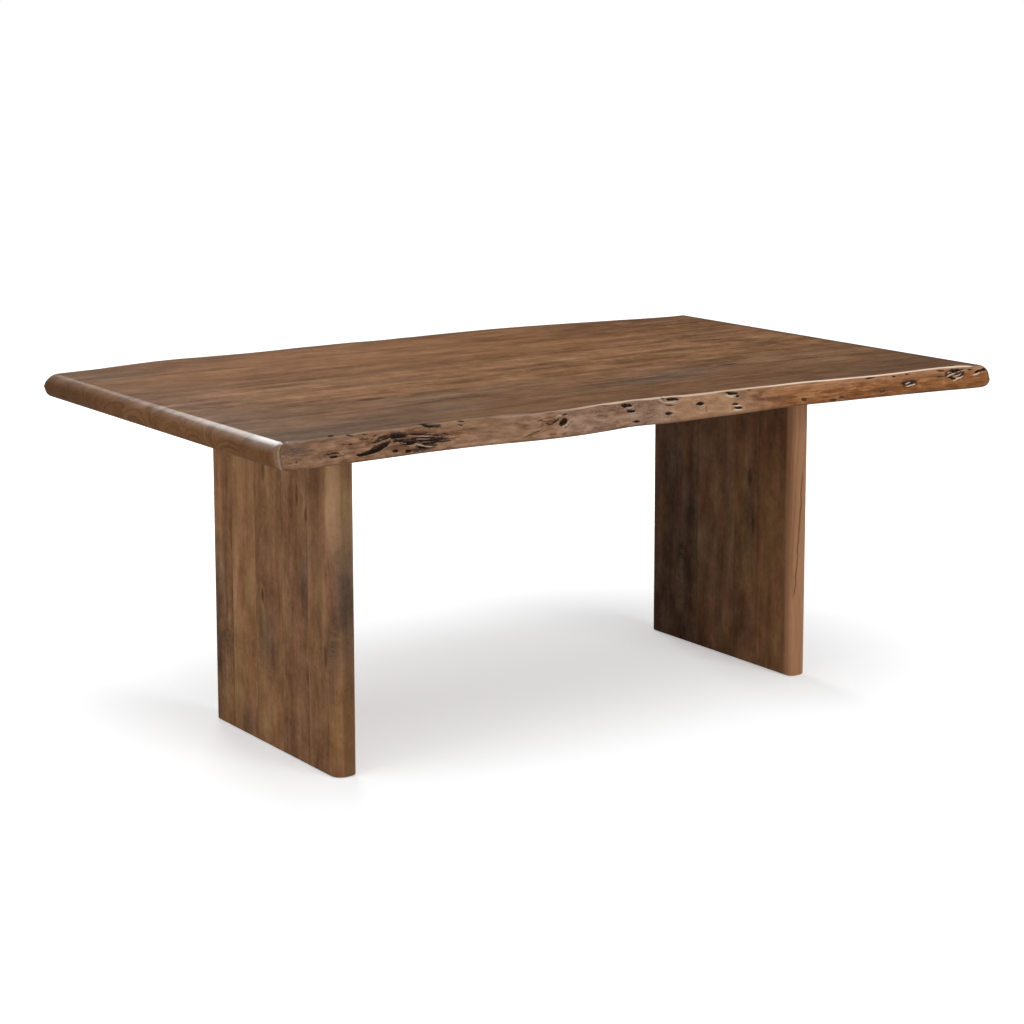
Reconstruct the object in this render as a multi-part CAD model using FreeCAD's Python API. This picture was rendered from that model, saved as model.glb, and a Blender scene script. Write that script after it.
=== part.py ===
"""A dining table of solid wood with natural long edges.

The top is glued up from lengthwise boards. Its two outer boards keep the tree's own edge,
and its two ends are straight with a full half-round nose. Each leg is an upright panel glued
up from staves. Flat biscuits sit in slots across every seam. Each leg is screwed to a steel
plate that is let into the underside of the top and bolted to threaded inserts. Three steel
channels let into the underside keep the top flat.

Millimetres. X runs along the table, Y across it and Z up. The origin is on the floor under
the middle of the table.
"""
import FreeCAD, Part
import os

# Overall sizes of the table
table_length = 1830.0
table_height = 762.0
top_width = 1186.0            # across the furthest points of the two natural edges
top_thickness = 48.0

# Natural edges of the top
edge_wander = 100.0           # how far a natural edge strays in from its furthest point
edge_slant = 60.0             # how far the upper corner can lie behind the lower one
edge_softening = 7.0          # worn roundness of the lower corner

# Legs
end_overhang = 264.0          # from each end of the top in to the face of its leg
leg_depth = 530.0             # front to back
leg_thickness = 52.0
leg_outer_round = 24.0        # upright corners that face the table's ends
leg_inner_round = 16.0        # upright corners that face the knee space

# Biscuits in the glue seams
biscuit_length = 56.0
biscuit_width = 23.0
biscuit_thickness = 4.0

# Steel plate between each leg and the top
plate_length = 470.0
plate_width = 130.0
plate_thickness = 6.0
plate_corner = 12.0
plate_clearance = 1.0         # between the plate's rim and its recess
bolt_row_offset = 45.0        # from the middle of the plate to each row of bolts
bolt_pitch = 200.0            # from bolt to bolt along a row

# Bolts, washers and threaded inserts
bolt_radius = 4.0
bolt_length = 20.0
bolt_head_radius = 7.0
bolt_head_height = 4.4
bolt_head_crown_radius = 4.6
socket_across_corners = 5.8
socket_depth = 2.6
bolt_hole_clearance = 0.5
washer_radius = 8.0
washer_thickness = 1.6
insert_radius = 6.0
insert_length = 15.0
socket_sides = 6
head_side_share = 0.34        # of a rounded head's height, before its crown begins

# Screws from the plate into the end of each leg
leg_screw_radius = 3.0
leg_screw_length = 80.0
leg_screw_head_radius = 5.8
leg_screw_head_height = 3.6
leg_screw_offset = 13.0       # from the middle of the leg's thickness

# Channels that keep the top flat
channel_end_inset = 133.0     # from the top's widest line in to each end of a channel
channel_width = 40.0
channel_height = 18.0
channel_wall = 3.0
channel_spread_share = 0.64   # of the way from the table's middle to each leg
channel_slot_length = 16.0
channel_slot_width = 6.4

# Screws through the slots of the channels
channel_screw_radius = 2.5
channel_screw_length = 28.0
channel_screw_head_radius = 5.5
channel_screw_head_height = 3.2
channel_screw_crown_radius = 4.0
cross_slot_width = 1.2
cross_slot_length = 5.0
cross_slot_depth = 1.6

# Glides under the legs
glide_radius = 15.0
glide_thickness = 6.0
glide_proud = 1.5             # how far a glide stands below its leg
glide_pitch = 205.0
glide_chamfer = 1.0
glide_screw_radius = 2.0
glide_screw_length = 24.0
glide_screw_head_radius = 4.0
glide_screw_head_height = 2.4
glide_screw_sunk = 1.0        # how far its head lies above the glide's lower face

# One overrun serves all cuts
cut_overrun = 10.0

# Seams between the top's boards, front to back, as shares of half the top's width
top_seam_shares = (-0.607, -0.442, -0.219, 0.018, 0.236, 0.447, 0.658)

# Seams between the staves, front to back, as shares of half the leg's depth
left_seam_shares = (-0.59, -0.185, 0.24, 0.63)
right_seam_shares = (-0.53, -0.215, 0.32, 0.64)

# Biscuits along a seam of the top, as shares of half the table's length
top_biscuit_shares = (-0.852, -0.552, -0.317, -0.104, 0.104, 0.317, 0.552, 0.852)

# Biscuits up a seam of a leg, as shares of the leg's height
leg_biscuit_shares = (0.12, 0.37, 0.62, 0.87)

# The natural edges, read at even steps from the left end to the right one.
# Inward shares of edge_wander give the lower corner, and shares of edge_slant say how far
# the upper corner lies behind it.
front_inward_shares = (
    1.0, 0.94, 0.91, 0.915, 0.93, 0.93, 0.88, 0.78, 0.67, 0.65, 0.71, 0.79, 0.70,
    0.68, 0.67, 0.68, 0.69, 0.69, 0.60, 0.53, 0.45, 0.36, 0.25, 0.12, 0.0,
)
front_slant_shares = (
    0.58, 0.58, 0.67, 0.75, 0.65, 0.67, 0.80, 0.95, 0.75, 0.79, 0.78, 0.75, 0.85,
    0.68, 0.60, 0.55, 0.42, 0.32, 0.30, 0.10, 0.08, 0.20, 0.42, 0.62, 0.72,
)
back_inward_shares = (
    0.48, 0.27, 0.21, 0.08, 0.0, 0.0, 0.03, 0.07, 0.05, 0.01, 0.01, 0.03, 0.08,
    0.05, 0.03, 0.01, 0.03, 0.07, 0.14, 0.25, 0.38, 0.52, 0.66, 0.77, 0.85,
)
back_slant_shares = (
    0.17, 0.27, 0.23, 0.20, 0.05, 0.03, 0.10, 0.13, 0.15, 0.17, 0.15, 0.10, 0.12,
    0.15, 0.15, 0.17, 0.15, 0.20, 0.27, 0.32, 0.33, 0.33, 0.35, 0.33, 0.30,
)

# Levels of a natural edge's face: share of the thickness, of the slant and of the softening
face_level_shares = (
    (0.0, 0.0, 1.0),
    (0.15, 0.0, 0.0),
    (0.5, 0.28, 0.0),
    (0.86, 0.74, 0.0),
    (1.0, 1.0, 0.0),
)

FRONT = -1
BACK = 1
LEFT = -1
RIGHT = 1

UP = FreeCAD.Vector(0, 0, 1)
DOWN = FreeCAD.Vector(0, 0, -1)

FULL_TURN = 360.0

# Lengths and levels that several pieces share
underside_z = table_height - top_thickness
seam_z = table_height - top_thickness / 2
leg_height = underside_z - glide_proud
channel_length = top_width - 2 * channel_end_inset


def vector(x, y, z):
    return FreeCAD.Vector(x, y, z)


def box(x0, x1, y0, y1, z0, z1):
    """A box between two corners."""
    return Part.makeBox(x1 - x0, y1 - y0, z1 - z0, vector(x0, y0, z0))


def cylinder(radius, length, foot, direction=UP):
    return Part.makeCylinder(radius, length, foot, direction)


def closed_face(points):
    """A flat face with straight sides through the points."""
    return Part.Face(Part.makePolygon(list(points) + [points[0]]))


def turned(profile, foot, direction=UP):
    """A solid turned about an axis. The profile gives radius and height, from axis to axis."""
    face = closed_face([vector(radius, 0, height) for radius, height in profile])
    solid = face.revolve(vector(0, 0, 0), UP, FULL_TURN)
    solid.Placement = FreeCAD.Placement(foot, FreeCAD.Rotation(UP, direction))
    return solid


def rounded_plan(x0, x1, y0, y1, left_round, right_round):
    """A flat face in plan whose two left corners and two right corners have their own radius."""
    corners = (
        (x0, y0, 1, 1, left_round),
        (x1, y0, -1, 1, right_round),
        (x1, y1, -1, -1, right_round),
        (x0, y1, 1, -1, left_round),
    )
    bend = 1 - 0.5 ** 0.5
    arcs = []
    for x, y, inward_x, inward_y, radius in corners:
        beside = vector(x + inward_x * radius, y, 0)
        along = vector(x, y + inward_y * radius, 0)
        middle = vector(x + inward_x * radius * bend, y + inward_y * radius * bend, 0)
        ends = (along, beside) if inward_x == inward_y else (beside, along)
        arcs.append((ends[0], middle, ends[1]))
    edges = []
    for index, (start, middle, end) in enumerate(arcs):
        edges.append(Part.Arc(start, middle, end).toShape())
        edges.append(Part.makeLine(end, arcs[(index + 1) % len(arcs)][0]))
    return Part.Face(Part.Wire(edges))


def near(first, second):
    """Whether the boxes round two shapes meet."""
    return first.BoundBox.intersect(second.BoundBox)


def cut_all(solid, tools):
    """The solid less every tool that comes near it."""
    tools = [tool for tool in tools if near(solid, tool)]
    return solid.cut(tools) if tools else solid


def export(name, solids):
    """Writes one piece, or a group of alike pieces, under its node's name."""
    shape = solids[0] if len(solids) == 1 else Part.makeCompound(solids)
    shape.exportStep("parts/" + name + ".step")


def end_rounded_slab(y0, y1):
    """A stretch of the top between two lines across it, with its half-round ends."""
    nose = top_thickness / 2
    half = table_length / 2
    corners = [
        vector(-half + nose, y0, underside_z),
        vector(half - nose, y0, underside_z),
        vector(half - nose, y0, table_height),
        vector(-half + nose, y0, table_height),
    ]
    edges = [
        Part.makeLine(corners[0], corners[1]),
        Part.Arc(corners[1], vector(half, y0, seam_z), corners[2]).toShape(),
        Part.makeLine(corners[2], corners[3]),
        Part.Arc(corners[3], vector(-half, y0, seam_z), corners[0]).toShape(),
    ]
    return Part.Face(Part.Wire(edges)).extrude(vector(0, y1 - y0, 0))


def natural_edge_wire(side, seam_y, inward_shares, slant_shares, level):
    """The plan outline of an outer board at one level of its natural face."""
    height_share, slant_share, softening_share = level
    z = underside_z + top_thickness * height_share
    reach = table_length + 2 * cut_overrun
    points = []
    for index, (inward, slant) in enumerate(zip(inward_shares, slant_shares)):
        x = -reach / 2 + reach * index / (len(inward_shares) - 1)
        behind = edge_slant * slant * slant_share + edge_softening * softening_share
        y = side * (top_width / 2 - edge_wander * inward - behind)
        points.append(vector(x, y, z))
    curve = Part.BSplineCurve()
    curve.interpolate(points)
    right_end = vector(reach / 2, seam_y, z)
    left_end = vector(-reach / 2, seam_y, z)
    return Part.Wire([
        curve.toShape(),
        Part.makeLine(points[-1], right_end),
        Part.makeLine(right_end, left_end),
        Part.makeLine(left_end, points[0]),
    ])


def natural_edge_board(side, seam_y, inward_shares, slant_shares):
    """An outer board: its natural face lofted through its levels, then its ends rounded."""
    wires = [
        natural_edge_wire(side, seam_y, inward_shares, slant_shares, level)
        for level in face_level_shares
    ]
    blank = Part.makeLoft(wires, True, True)
    far_y = side * (top_width / 2 + cut_overrun)
    return blank.common(end_rounded_slab(min(seam_y, far_y), max(seam_y, far_y)))


def top_seams():
    return [top_width / 2 * share for share in top_seam_shares]


def top_boards():
    """The top's boards, front to back, before anything is cut into them."""
    seams = top_seams()
    front = natural_edge_board(FRONT, seams[0], front_inward_shares, front_slant_shares)
    inner = [end_rounded_slab(y0, y1) for y0, y1 in zip(seams, seams[1:])]
    back = natural_edge_board(BACK, seams[-1], back_inward_shares, back_slant_shares)
    return [front] + inner + [back]


def flat_biscuit(centre):
    """A biscuit lying flat, its length along X and its width across the seam."""
    low = biscuit_thickness / 2
    tip_0 = vector(-biscuit_length / 2, 0, -low)
    tip_1 = vector(biscuit_length / 2, 0, -low)
    front = vector(0, -biscuit_width / 2, -low)
    back = vector(0, biscuit_width / 2, -low)
    outline = [Part.Arc(tip_0, front, tip_1).toShape(), Part.Arc(tip_1, back, tip_0).toShape()]
    solid = Part.Face(Part.Wire(outline)).extrude(vector(0, 0, biscuit_thickness))
    solid.translate(centre)
    return solid


def upright_biscuit(centre):
    """A biscuit on edge, its length up the seam and its thickness along X."""
    solid = flat_biscuit(vector(0, 0, 0))
    solid.rotate(vector(0, 0, 0), vector(0, 1, 0), 90)
    solid.translate(centre)
    return solid


def top_biscuits():
    return [
        flat_biscuit(vector(table_length / 2 * share, seam, seam_z))
        for seam in top_seams()
        for share in top_biscuit_shares
    ]


def leg_x(side):
    """The middle of a leg's thickness."""
    return side * (table_length / 2 - end_overhang - leg_thickness / 2)


def leg_seams(side):
    shares = left_seam_shares if side == LEFT else right_seam_shares
    return [leg_depth / 2 * share for share in shares]


def leg_staves(side):
    """One leg's staves, front to back, before anything is cut into them."""
    x0 = leg_x(side) - leg_thickness / 2
    x1 = leg_x(side) + leg_thickness / 2
    outer_is_left = side == LEFT
    plan = rounded_plan(
        x0, x1, -leg_depth / 2, leg_depth / 2,
        leg_outer_round if outer_is_left else leg_inner_round,
        leg_inner_round if outer_is_left else leg_outer_round,
    )
    plan.translate(vector(0, 0, glide_proud))
    panel = plan.extrude(vector(0, 0, leg_height))
    lines = [-leg_depth / 2 - cut_overrun] + leg_seams(side) + [leg_depth / 2 + cut_overrun]
    return [
        panel.common(box(
            x0 - cut_overrun, x1 + cut_overrun, y0, y1,
            -cut_overrun, underside_z + cut_overrun,
        ))
        for y0, y1 in zip(lines, lines[1:])
    ]


def stave_middles(side):
    """The middle of each stave, seen from above."""
    lines = [-leg_depth / 2] + leg_seams(side) + [leg_depth / 2]
    return [(y0 + y1) / 2 for y0, y1 in zip(lines, lines[1:])]


def leg_biscuits(side):
    return [
        upright_biscuit(vector(leg_x(side), seam, glide_proud + leg_height * share))
        for seam in leg_seams(side)
        for share in leg_biscuit_shares
    ]


def bolt_places(side):
    return [
        (leg_x(side) + row * bolt_row_offset, step * bolt_pitch)
        for row in (-1, 1)
        for step in (-1, 0, 1)
    ]


def leg_screw_places(side):
    """A pair of screws for each stave, kept within the plate."""
    limit = plate_length / 2 - 2 * leg_screw_head_radius
    return [
        (leg_x(side) + row * leg_screw_offset, max(-limit, min(limit, middle)))
        for middle in stave_middles(side)
        for row in (-1, 1)
    ]


def countersunk_screw(head_radius, head_height, shank_radius, length, foot, direction):
    """A wood screw with a flat head, from the middle of its head along the direction."""
    return turned(
        (
            (0, 0),
            (head_radius, 0),
            (shank_radius, head_height),
            (shank_radius, length - 2 * shank_radius),
            (0, length),
        ),
        foot, direction,
    )


def leg_screw(x, y):
    return countersunk_screw(
        leg_screw_head_radius, leg_screw_head_height, leg_screw_radius, leg_screw_length,
        vector(x, y, underside_z + plate_thickness), DOWN,
    )


def leg_plate(side):
    """The steel plate of one leg, with its bolt holes and countersinks."""
    x = leg_x(side)
    plan = rounded_plan(
        x - plate_width / 2, x + plate_width / 2, -plate_length / 2, plate_length / 2,
        plate_corner, plate_corner,
    )
    plan.translate(vector(0, 0, underside_z))
    plate = plan.extrude(vector(0, 0, plate_thickness))
    holes = [
        cylinder(
            bolt_radius + bolt_hole_clearance, plate_thickness + 2 * cut_overrun,
            vector(bolt_x, bolt_y, underside_z - cut_overrun),
        )
        for bolt_x, bolt_y in bolt_places(side)
    ]
    return plate.cut(holes + [leg_screw(*place) for place in leg_screw_places(side)])


def plate_recess(side):
    """The routed recess in the underside that takes one plate."""
    x = leg_x(side)
    half_width = plate_width / 2 + plate_clearance
    half_length = plate_length / 2 + plate_clearance
    corner = plate_corner + plate_clearance
    plan = rounded_plan(x - half_width, x + half_width, -half_length, half_length, corner, corner)
    plan.translate(vector(0, 0, underside_z - cut_overrun))
    return plan.extrude(vector(0, 0, plate_thickness + cut_overrun))


def plate_bolt(x, y):
    """A button-head bolt with a hexagon socket, pointing up."""
    seat = underside_z - washer_thickness
    bolt = turned(
        (
            (0, -bolt_head_height),
            (bolt_head_crown_radius, -bolt_head_height),
            (bolt_head_radius, -bolt_head_height * head_side_share),
            (bolt_head_radius, 0),
            (bolt_radius, 0),
            (bolt_radius, bolt_length),
            (0, bolt_length),
        ),
        vector(x, y, seat),
    )
    spin = FreeCAD.Rotation(UP, FULL_TURN / socket_sides)
    corner = vector(socket_across_corners / 2, 0, 0)
    corners = []
    for _ in range(socket_sides):
        corners.append(corner + vector(x, y, seat - bolt_head_height))
        corner = spin.multVec(corner)
    return bolt.cut(closed_face(corners).extrude(vector(0, 0, socket_depth)))


def bolt_washer(x, y):
    foot = vector(x, y, underside_z - washer_thickness)
    hole = cylinder(
        bolt_radius + bolt_hole_clearance / 2, washer_thickness + 2 * cut_overrun,
        foot - vector(0, 0, cut_overrun),
    )
    return cylinder(washer_radius, washer_thickness, foot).cut(hole)


def insert_hole(x, y):
    return cylinder(insert_radius, insert_length, vector(x, y, underside_z + plate_thickness))


def threaded_insert(x, y):
    """A threaded insert, plain outside and in, that grips the bolt along its bore."""
    bore = cylinder(
        bolt_radius, insert_length + 2 * cut_overrun,
        vector(x, y, underside_z + plate_thickness - cut_overrun),
    )
    return insert_hole(x, y).cut(bore)


def channel_block(x):
    """The outer form of one channel."""
    return box(
        x - channel_width / 2, x + channel_width / 2,
        -channel_length / 2, channel_length / 2,
        underside_z, underside_z + channel_height,
    )


def channel_hollow(x):
    """The wood that stays between a channel's two walls."""
    return box(
        x - channel_width / 2 + channel_wall, x + channel_width / 2 - channel_wall,
        -channel_length / 2 - cut_overrun, channel_length / 2 + cut_overrun,
        underside_z + channel_wall, underside_z + channel_height + cut_overrun,
    )


def channel_screw_places(x):
    """One screw in each board, in the middle of the stretch that the channel crosses."""
    lines = [-channel_length / 2]
    lines += [seam for seam in top_seams() if abs(seam) < channel_length / 2]
    lines += [channel_length / 2]
    return [(x, (y0 + y1) / 2) for y0, y1 in zip(lines, lines[1:])]


def channel_slot(x, y):
    """A slotted hole along the channel, so that the top can swell and shrink."""
    side = channel_slot_width / 2
    straight = channel_slot_length / 2 - side
    z = underside_z - cut_overrun
    near_left = vector(x - side, y - straight, z)
    near_right = vector(x + side, y - straight, z)
    far_right = vector(x + side, y + straight, z)
    far_left = vector(x - side, y + straight, z)
    outline = Part.Wire([
        Part.Arc(near_left, vector(x, y - straight - side, z), near_right).toShape(),
        Part.makeLine(near_right, far_right),
        Part.Arc(far_right, vector(x, y + straight + side, z), far_left).toShape(),
        Part.makeLine(far_left, near_left),
    ])
    return Part.Face(outline).extrude(vector(0, 0, channel_wall + 2 * cut_overrun))


def steel_channel(x):
    solid = channel_block(x).cut(channel_hollow(x))
    return cut_all(solid, [channel_slot(*place) for place in channel_screw_places(x)])


def channel_screw(x, y):
    """A pan-head screw with a cross recess, pointing up through a channel."""
    head_z = underside_z - channel_screw_head_height
    screw = turned(
        (
            (0, -channel_screw_head_height),
            (channel_screw_crown_radius, -channel_screw_head_height),
            (channel_screw_head_radius, -channel_screw_head_height * head_side_share),
            (channel_screw_head_radius, 0),
            (channel_screw_radius, 0),
            (channel_screw_radius, channel_screw_length - 2 * channel_screw_radius),
            (0, channel_screw_length),
        ),
        vector(x, y, underside_z),
    )
    long = cross_slot_length / 2
    wide = cross_slot_width / 2
    top = head_z + cross_slot_depth
    return screw.cut([
        box(x - long, x + long, y - wide, y + wide, head_z - cut_overrun, top),
        box(x - wide, x + wide, y - long, y + long, head_z - cut_overrun, top),
    ])


def glide_places(side):
    return [(leg_x(side), step * glide_pitch) for step in (-1, 0, 1)]


def glide_blank(x, y):
    """A glide without its screw hole, also the recess that takes it."""
    return turned(
        (
            (0, 0),
            (glide_radius - glide_chamfer, 0),
            (glide_radius, glide_chamfer),
            (glide_radius, glide_thickness),
            (0, glide_thickness),
        ),
        vector(x, y, 0),
    )


def glide_screw(x, y):
    return countersunk_screw(
        glide_screw_head_radius, glide_screw_head_height, glide_screw_radius, glide_screw_length,
        vector(x, y, glide_screw_sunk), UP,
    )


def foot_glide(x, y):
    sink = cylinder(glide_screw_head_radius, glide_screw_sunk, vector(x, y, 0))
    return glide_blank(x, y).cut([glide_screw(x, y), sink])


def build():
    sides = (LEFT, RIGHT)
    channels = {
        "channel_left": leg_x(LEFT) * channel_spread_share,
        "channel_middle": 0,
        "channel_right": leg_x(RIGHT) * channel_spread_share,
    }
    bolts = [place for side in sides for place in bolt_places(side)]
    leg_screws = [leg_screw(*place) for side in sides for place in leg_screw_places(side)]
    channel_screws = [
        channel_screw(*place) for x in channels.values() for place in channel_screw_places(x)
    ]
    glides = [place for side in sides for place in glide_places(side)]
    glide_screws = [glide_screw(*place) for place in glides]

    biscuits = top_biscuits()
    grooves = [channel_block(x).cut(channel_hollow(x)) for x in channels.values()]
    under_cuts = biscuits + grooves + channel_screws
    under_cuts += [plate_recess(side) for side in sides]
    under_cuts += [insert_hole(*place) for place in bolts]
    boards = [cut_all(board, under_cuts) for board in top_boards()]
    export("top_front_board", boards[:1])
    for number, board in enumerate(boards[1:-1], start=2):
        export("top_board_%d" % number, [board])
    export("top_back_board", boards[-1:])
    export("top_biscuits", biscuits)

    foot_cuts = [glide_blank(*place) for place in glides] + glide_screws + leg_screws
    for side, name in ((LEFT, "left_leg"), (RIGHT, "right_leg")):
        joints = leg_biscuits(side)
        for number, stave in enumerate(leg_staves(side), start=1):
            export("%s_stave_%d" % (name, number), [cut_all(stave, joints + foot_cuts)])
        export(name + "_biscuits", joints)
        export(name + "_plate", [leg_plate(side)])

    export("plate_bolts", [plate_bolt(*place) for place in bolts])
    export("bolt_washers", [bolt_washer(*place) for place in bolts])
    export("threaded_inserts", [threaded_insert(*place) for place in bolts])
    export("leg_screws", leg_screws)
    for name, x in channels.items():
        export(name, [steel_channel(x)])
    export("channel_screws", channel_screws)
    export("foot_glides", [foot_glide(*place) for place in glides])
    export("glide_screws", glide_screws)


os.makedirs("parts", exist_ok=True)
build()
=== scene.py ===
"""A dining table of stained hardwood with natural long edges.

Every board of the top and every stave of the legs is remade here with its worn arrises,
knots, bark pockets and cracks, and takes the place of its plain solid. The steel, brass and
nylon parts keep their solids and get their finishes. Lengths are in metres, and MM turns
millimetres into them.
"""
import math

import bmesh
import bpy
import numpy as np
from mathutils import Matrix, Vector
from mathutils.bvhtree import BVHTree


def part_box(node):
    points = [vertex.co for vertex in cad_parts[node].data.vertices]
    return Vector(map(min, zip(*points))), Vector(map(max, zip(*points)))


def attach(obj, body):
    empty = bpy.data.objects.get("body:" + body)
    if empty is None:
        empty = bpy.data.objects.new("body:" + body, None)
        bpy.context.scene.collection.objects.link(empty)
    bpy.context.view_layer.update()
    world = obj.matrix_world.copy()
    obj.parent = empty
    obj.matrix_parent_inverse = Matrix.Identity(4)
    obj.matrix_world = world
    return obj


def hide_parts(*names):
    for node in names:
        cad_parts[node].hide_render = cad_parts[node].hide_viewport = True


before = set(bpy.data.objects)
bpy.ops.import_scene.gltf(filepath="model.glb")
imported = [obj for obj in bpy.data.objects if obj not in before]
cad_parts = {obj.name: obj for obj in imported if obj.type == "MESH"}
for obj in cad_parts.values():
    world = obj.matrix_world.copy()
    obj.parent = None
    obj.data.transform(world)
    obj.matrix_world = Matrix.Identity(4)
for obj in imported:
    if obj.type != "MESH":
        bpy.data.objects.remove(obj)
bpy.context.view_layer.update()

MM = 0.001

# The camera of the photograph: its place, angles in radians, focal length and picture centre
EYE = Vector((-2.98802, -4.20172, 1.56904))
AZIMUTH, ELEVATION, ROLL = -0.635726, 0.146946, 0.0017918
PICTURE = 1024
FOCAL = 2303.77
CENTRE = (560, 350)

# The top
TOP_LENGTH = 1830 * MM
TOP_HEIGHT = 762 * MM
TOP_THICKNESS = 48 * MM
TOP_HALF_WIDTH = 593 * MM
NOSE = TOP_THICKNESS / 2
NOSE_ROLL = 40 * MM            # how far in from the left tip the nose's upper side starts to fall
SEAM_HEIGHT = TOP_HEIGHT - NOSE
SEAM_EASE = 0.25 * MM          # softened corner beside a glue seam
SEAM_SUPPORT = 1.0 * MM        # flat strip beside it

# The legs
OUTER_ROUND, INNER_ROUND = 24 * MM, 16 * MM       # of a leg's upright corners
FOOT_EASE = ((0, 1.6), (0.5, 0.7), (1.6, 0), (3, 0))   # height and set-in at the foot, in millimetres

# The natural edges. Their shares are the solids' own, but for the right-hand third of the front
# slant, which leans further back here
EDGE_WANDER = 100 * MM         # how far the lower corner can stray in
EDGE_SLANT = 60 * MM           # how far the upper corner can lie behind it
FRONT_LOWER_ARRIS = 2.5 * MM
BACK_LOWER_ARRIS = 8 * MM
FRONT_STANDS_OUT = 4.5 * MM    # how far the foot of the front face stands out past its line
UPPER_ARRIS = 3.2 * MM
CORNER_ROUND = 6 * MM          # where a natural edge turns into an end, seen from above
NEAR_END = (840 * MM, 900 * MM)      # from here to there a face straightens towards an end
DRAWN_IN = 8 * MM                    # how far a face is drawn in at one of its ends
DRAWN_IN_SPAN = (870 * MM, 910 * MM)
BACK_LEAN = 0.5                # of the back solid's lean
FOOT_UPRIGHT = 0.1             # the share of a face's height that is upright, at its foot
FACE_CURVE = 1.55              # over 1, more of the lean comes near the top
WORN_HILLS = ((0.55, 52, 21), (0.30, 17, 9), (0.10, 5, 3.5))   # depth, length and height, in mm
FINE_RELIEF = 6 * MM           # where the section is thinner than this, its relief dies out
EDGE_REACH = TOP_LENGTH / 2 + 10 * MM
FRONT_INWARD = (
    1.0, 0.94, 0.91, 0.915, 0.93, 0.93, 0.88, 0.78, 0.67, 0.65, 0.71, 0.79, 0.70,
    0.68, 0.67, 0.68, 0.69, 0.69, 0.60, 0.53, 0.45, 0.36, 0.25, 0.12, 0.0,
)
FRONT_SLANT = (
    0.58, 0.58, 0.67, 0.75, 0.65, 0.67, 0.80, 0.95, 0.75, 0.79, 0.78, 0.75, 0.85,
    0.68, 0.60, 0.55, 0.42, 0.38, 0.35, 0.28, 0.30, 0.43, 0.60, 0.70, 0.72,
)
BACK_INWARD = (
    0.48, 0.27, 0.21, 0.08, 0.0, 0.0, 0.03, 0.07, 0.05, 0.01, 0.01, 0.03, 0.08,
    0.05, 0.03, 0.01, 0.03, 0.07, 0.14, 0.25, 0.38, 0.52, 0.66, 0.77, 0.85,
)
BACK_SLANT = (
    0.17, 0.27, 0.23, 0.20, 0.05, 0.03, 0.10, 0.13, 0.15, 0.17, 0.15, 0.10, 0.12,
    0.15, 0.15, 0.17, 0.15, 0.20, 0.27, 0.32, 0.33, 0.33, 0.35, 0.33, 0.30,
)

# The kinds of mark that go into the wood: how black they are, how strong the painted highlight on
# their lower lip is, and how far the year lines bend round them in millimetres
SUNK_KINDS = {
    "crack": (0.72, 0.6, 3),
    "pit": (0.50, 0.6, 5),
    "hole": (0.78, 0.6, 5),
    "hollow": (1.0, 0.4, 9),
    "eye": (1.0, 1.0, 11),
}
EDGE_LAYERS = ("bark", "sliver", "stain", "shade", "bend", "rim")

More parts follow.
